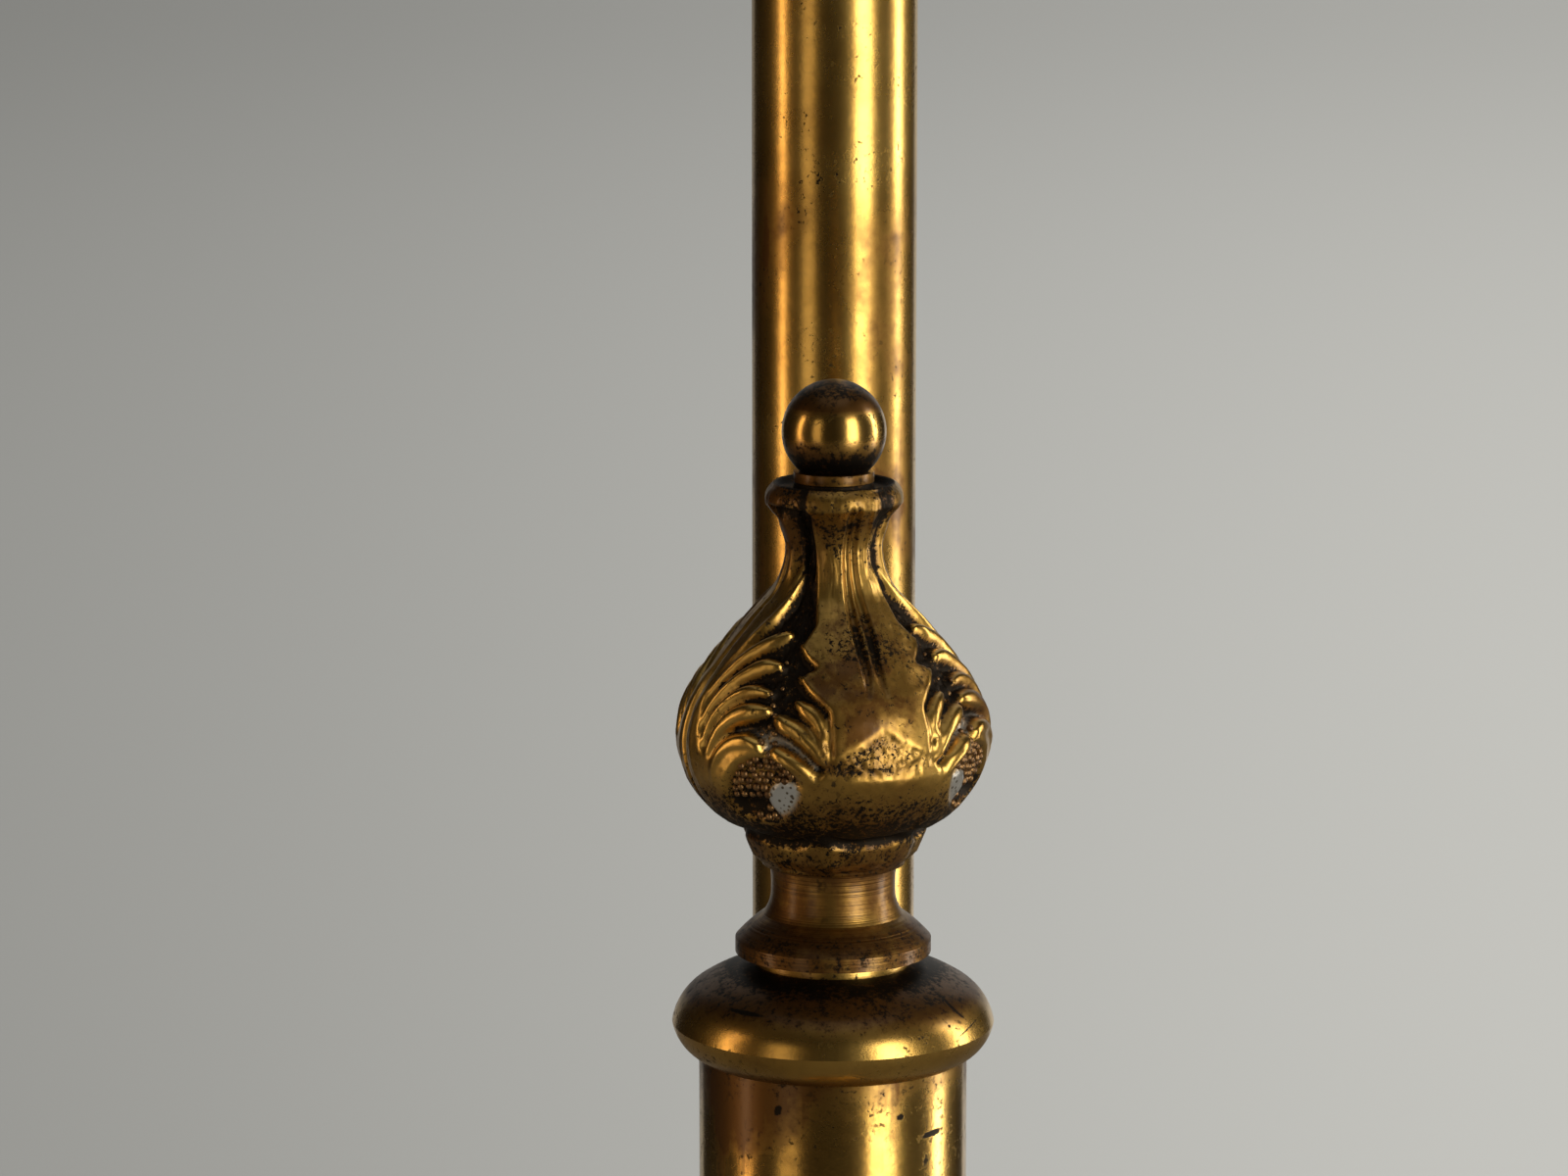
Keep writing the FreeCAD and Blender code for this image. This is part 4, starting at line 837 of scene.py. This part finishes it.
def aged_brass(name, stain=0.5, speckle=0.5, streak=0.0, rings=0.0, wave_size=0.0, cavity=False, rough=0.17,
               zones=(), marks=(), coat=0.35):
    """Old lacquered brass: gold with brown stains, dark specks, run marks and dull black in the hollows,
    which on the cast bulb is partly painted shade.

    Zones are (z where it starts, z where it is full, brown, black), in metres; on the cap and the ball they
    also stand for a painted dark reflection. Marks are as in Paint.mark.
    """
    paint = Paint(name)
    broad = paint.noise(STAIN_SCALE, 4, 0.55)
    grit = paint.noise(GRIT_SCALE, 4, 0.75)
    fine = paint.noise(FINE_SCALE, 3, 0.6)
    specks = paint.noise(SPECK_SCALE, 2, 0.5)
    tarnish = paint.ramp(broad, 0.62 - 0.3 * stain, 0.85 - 0.2 * stain)
    if streak:
        runs = paint.noise(1, 4, 0.55, paint.stretch(RUN_STRETCH))
        tarnish = paint.math("ADD", tarnish, paint.ramp(runs, 0.50, 0.75, 0.0, streak))
    patches = paint.ramp(paint.noise(PATCH_SCALE, 3, 0.6), 0.50 - 0.12 * speckle, 0.66)
    dark = paint.math("MULTIPLY", paint.ramp(specks, 0.60 - 0.06 * speckle, 0.70), patches)
    for start, full, brown, black in zones:
        band = paint.ramp(paint.axis("Z"), start, full)
        tarnish = paint.math("ADD", tarnish, paint.math("MULTIPLY", band, brown))
        mottle = paint.math("ADD", about_middle(paint, grit, 2.2), about_middle(paint, fine, 1.4))
        soot = paint.ramp(paint.math("ADD", paint.math("MULTIPLY", band, black), mottle), 0.5, 0.9)
        dark = paint.math("MAXIMUM", dark, soot)
    for place in marks:
        dark = paint.math("MAXIMUM", dark, paint.mark(*place, about_middle(paint, grit, 3.0)))
    if cavity:
        tarnish, dark = cast_dirt_and_shade(paint, tarnish, dark, grit, fine)
    tarnish = paint.math("ADD", tarnish, about_middle(paint, fine, 0.7), clamp=True)
    color = paint.mix(paint.ramp(broad, 0.35, 0.60), CLEAN, GOLD)
    color = paint.mix(tarnish, color, BROWN)
    color = paint.mix(dark, color, BLACK)
    dull = paint.math("MAXIMUM", paint.math("MULTIPLY", tarnish, 0.8), dark)
    roughness = paint.ramp(dull, 0.0, 1.0, rough, rough + 0.24)
    metal = paint.ramp(dark, 0.0, 1.0, 1.0, 0.85)
    if cavity:
        # painted reflection: these places turn pale grey and less metallic, standing in for a reflection of
        # the pale surround; the dark dots on them are real
        pale_sheen_mask = paint.attribute("painted_pale_sheen")
        color = paint.mix(pale_sheen_mask, color, paint.mix(paint.dots(DOT_SCALE, 0.36), PALE, PALE_DOTS))
        metal = paint.math("MULTIPLY", metal, paint.ramp(pale_sheen_mask, 0.0, 1.0, 1.0, 0.25))
        shine = paint.math("MULTIPLY", paint.attribute("crown"), 0.14)
        roughness = paint.math("SUBTRACT", roughness, shine)
    paint.put(paint.shader.inputs["Coat Weight"], paint.ramp(dark, 0.0, 0.8, coat, 0.0))
    paint.shader.inputs["Coat Roughness"].default_value = COAT_ROUGHNESS
    height = paint.math("SUBTRACT", paint.math("MULTIPLY", fine, 0.4), paint.math("MULTIPLY", dark, 0.15))
    normal = paint.bump(height, 0.18, 0.0002)
    if wave_size:
        normal = paint.bump(paint.noise(wave_size, 2, 0.5), 0.25, 0.0006, normal)
    if rings:
        turning = paint.noise(1, 2, 0.6, paint.stretch(RING_STRETCH))
        normal = paint.bump(turning, rings, 0.0002, normal)
    return paint.finish(color, roughness, metal, normal)


def cast_dirt_and_shade(paint, tarnish, dark, grit, fine):
    """Add what the cast bulb's attributes say: dirt and painted shade in the hollows, blotches, and clean
    crowns.
    """
    hollow = paint.attribute("cavity")
    tarnish = paint.math("ADD", tarnish, hollow)
    spread = paint.math("ADD", about_middle(paint, grit, 3.2), about_middle(paint, fine, 0.9))
    black = paint.ramp(paint.math("ADD", hollow, spread), 0.50, 0.66)
    dark = paint.math("MAXIMUM", dark, black)
    blotches = paint.ramp(paint.noise(BLOTCH_SCALE, 5, 0.65), 0.38, 0.66)
    amount = paint.ramp(paint.attribute("leaf"), 0.0, 1.0, 0.35, 0.75)
    tarnish = paint.math("ADD", tarnish, paint.math("MULTIPLY", blotches, amount))
    rubbed = paint.math("MULTIPLY", paint.attribute("crown"), 0.9)
    return paint.math("SUBTRACT", tarnish, rubbed), dark


def simple(name, first, second, scale, rough, metal):
    """A plain material of two tones, broadly mixed, with a fine grain."""
    paint = Paint(name)
    broad = paint.noise(scale, 4, 0.6)
    fine = paint.noise(scale * 9, 3, 0.6)
    color = paint.mix(paint.ramp(broad, 0.35, 0.7), first, second)
    roughness = paint.ramp(fine, 0.3, 0.7, rough - 0.06, rough + 0.08)
    return paint.finish(color, roughness, metal, paint.bump(fine, 0.2, 0.0002))


# zones and marks as aged_brass takes them
COLUMN_ZONES = (
    (LIP_Z - 0.0035, LIP_Z + 0.001, 0.5, 0.5),
    (LIP_Z - 0.008, LIP_Z, 0.25, 0.36),
)
COLUMN_MARKS = (
    (0.0090, LIP_Z - 0.0055, 0.0010, 0.0003, 6),
    (0.0062, LIP_Z - 0.0033, 0.0003, 0.0003, 0),
    (-0.0050, LIP_Z - 0.0025, 0.0005, 0.0003, 70),
)
# tarnish and painted dark reflection: the cap's top turns brown, then black
CAP_TARNISH_AND_REFLECTION_ZONES = (
    (LIP_Z + 0.0040, LIP_Z + 0.0066, 1.1, 0.55),
    (LIP_Z + 0.0062, LIP_Z + 0.0085, 0.4, 1.0),
)
CAP_MARKS = (
    (-0.0079, LIP_Z + 0.00635, 0.0016, 0.00016, 0),
    (0.0110, LIP_Z + 0.0061, 0.0015, 0.00008, -42),
    (0.0125, LIP_Z + 0.0043, 0.0009, 0.00007, 25),
)
PEDESTAL_ZONES = (
    (PEDESTAL_Z + 0.0034, PEDESTAL_Z + 0.0026, 0.5, 0.5),
    (PEDESTAL_Z + 0.0075, PEDESTAL_Z + 0.0045, 0.35, 0.2),
    (PEDESTAL_Z + 0.0060, PEDESTAL_Z + 0.0090, 0.30, 0.25),
)
# tarnish and painted dark reflection: the ball darkens above and below a gold middle
BALL_TARNISH_AND_REFLECTION_ZONES = (
    (BALL_Z + 0.0008, BALL_Z + 0.0022, 1.2, 0.35),
    (BALL_Z + 0.0018, BALL_Z + 0.0032, 0.4, 0.75),
    (BALL_Z - 0.0002, BALL_Z - 0.0016, 0.7, 0.6),
    (BALL_Z - 0.0016, BALL_Z - 0.0028, 0.3, 1.0),
)
BRASS = {
    "base_brass": dict(stain=0.35, speckle=0.4, wave_size=18, rough=0.16),
    "turned_brass": dict(stain=0.5, speckle=0.6, rings=0.25),
    "column_brass": dict(stain=0.45, speckle=0.8, streak=0.9, wave_size=25, rough=0.20, zones=COLUMN_ZONES,
                         marks=COLUMN_MARKS),
    "raw_brass": dict(stain=0.3, speckle=0.3, rings=0.4, rough=0.3),
    "cap_brass": dict(stain=0.3, speckle=0.8, wave_size=60, rough=0.25, zones=CAP_TARNISH_AND_REFLECTION_ZONES, marks=CAP_MARKS),
    "pedestal_brass": dict(stain=0.75, speckle=1.0, streak=0.5, rings=0.8, rough=0.26, zones=PEDESTAL_ZONES),
    "cast_brass": dict(stain=0.35, speckle=0.8, wave_size=240, cavity=True, rough=0.33, coat=0.3),
    "dark_brass": dict(stain=0.9, speckle=0.8, rings=0.2, rough=0.3),
    "ball_brass": dict(stain=0.3, speckle=0.5, wave_size=90, rough=0.2, zones=BALL_TARNISH_AND_REFLECTION_ZONES),
    "bracket_brass": dict(stain=0.5, speckle=0.7, wave_size=120, rough=0.24),
    "pole_brass": dict(stain=0.4, speckle=0.25, streak=0.6, wave_size=14, rough=0.25),
    "arm_brass": dict(stain=0.35, speckle=0.5, streak=0.3, wave_size=14, rough=0.16),
    "knob_brass": dict(stain=0.3, speckle=0.5, rings=0.2, rough=0.2),
    "shade_brass": dict(stain=0.3, speckle=0.4, wave_size=22, rough=0.17),
}
# two tones, noise scale, roughness and metallic
OTHERS = {
    "felt": ((0.030, 0.060, 0.040), (0.045, 0.085, 0.055), 900, 0.9, 0.0),
    "iron": ((0.05, 0.05, 0.052), (0.10, 0.07, 0.05), 120, 0.62, 0.8),
    "steel": ((0.55, 0.55, 0.56), (0.42, 0.41, 0.40), 200, 0.32, 1.0),
    "nylon": ((0.70, 0.68, 0.62), (0.60, 0.57, 0.50), 300, 0.5, 0.0),
    "black_rubber": ((0.02, 0.02, 0.02), (0.035, 0.034, 0.033), 400, 0.75, 0.0),
    "black_plastic": ((0.025, 0.022, 0.020), (0.04, 0.036, 0.032), 300, 0.35, 0.0),
    "black_knob": ((0.022, 0.018, 0.016), (0.05, 0.035, 0.03), 260, 0.28, 0.0),
    "bulb_metal": ((0.62, 0.62, 0.60), (0.48, 0.47, 0.45), 240, 0.3, 1.0),
    "frosted_glass": ((0.86, 0.85, 0.80), (0.78, 0.77, 0.72), 150, 0.45, 0.0),
}
PEARL_BRASS = ((0.34, 0.19, 0.075), (0.11, 0.055, 0.025), 700, 0.34, 0.8)
OWN_LOOK = {"finial_washer": "dark_brass"}       # the thin ring is as tarnished as the disc
SLOTS = {row["node"]: row["material_slot"] for row in frame["record"]["subparts"]}

make_camera()
make_floor()
make_world()
for light in SOFTBOXES:
    softbox(*light)
overhead()
dark_wall()
dark_mat()
bpy.context.scene.view_settings.view_transform = "Standard"

bulb, relief, bulb_shape, bulb_normal = make_bulb()
pearls = make_pearls(relief, bulb_shape, bulb_normal)
materials = {slot: aged_brass(slot, **options) for slot, options in BRASS.items()}
materials.update({slot: simple(slot, *options) for slot, options in OTHERS.items()})
for name, node in NODES.items():
    node.data.materials.clear()
    node.data.materials.append(materials[OWN_LOOK.get(name, SLOTS[name])])
bulb.data.materials.append(materials["cast_brass"])
pearls.data.materials.append(simple("pearl_brass", *PEARL_BRASS))
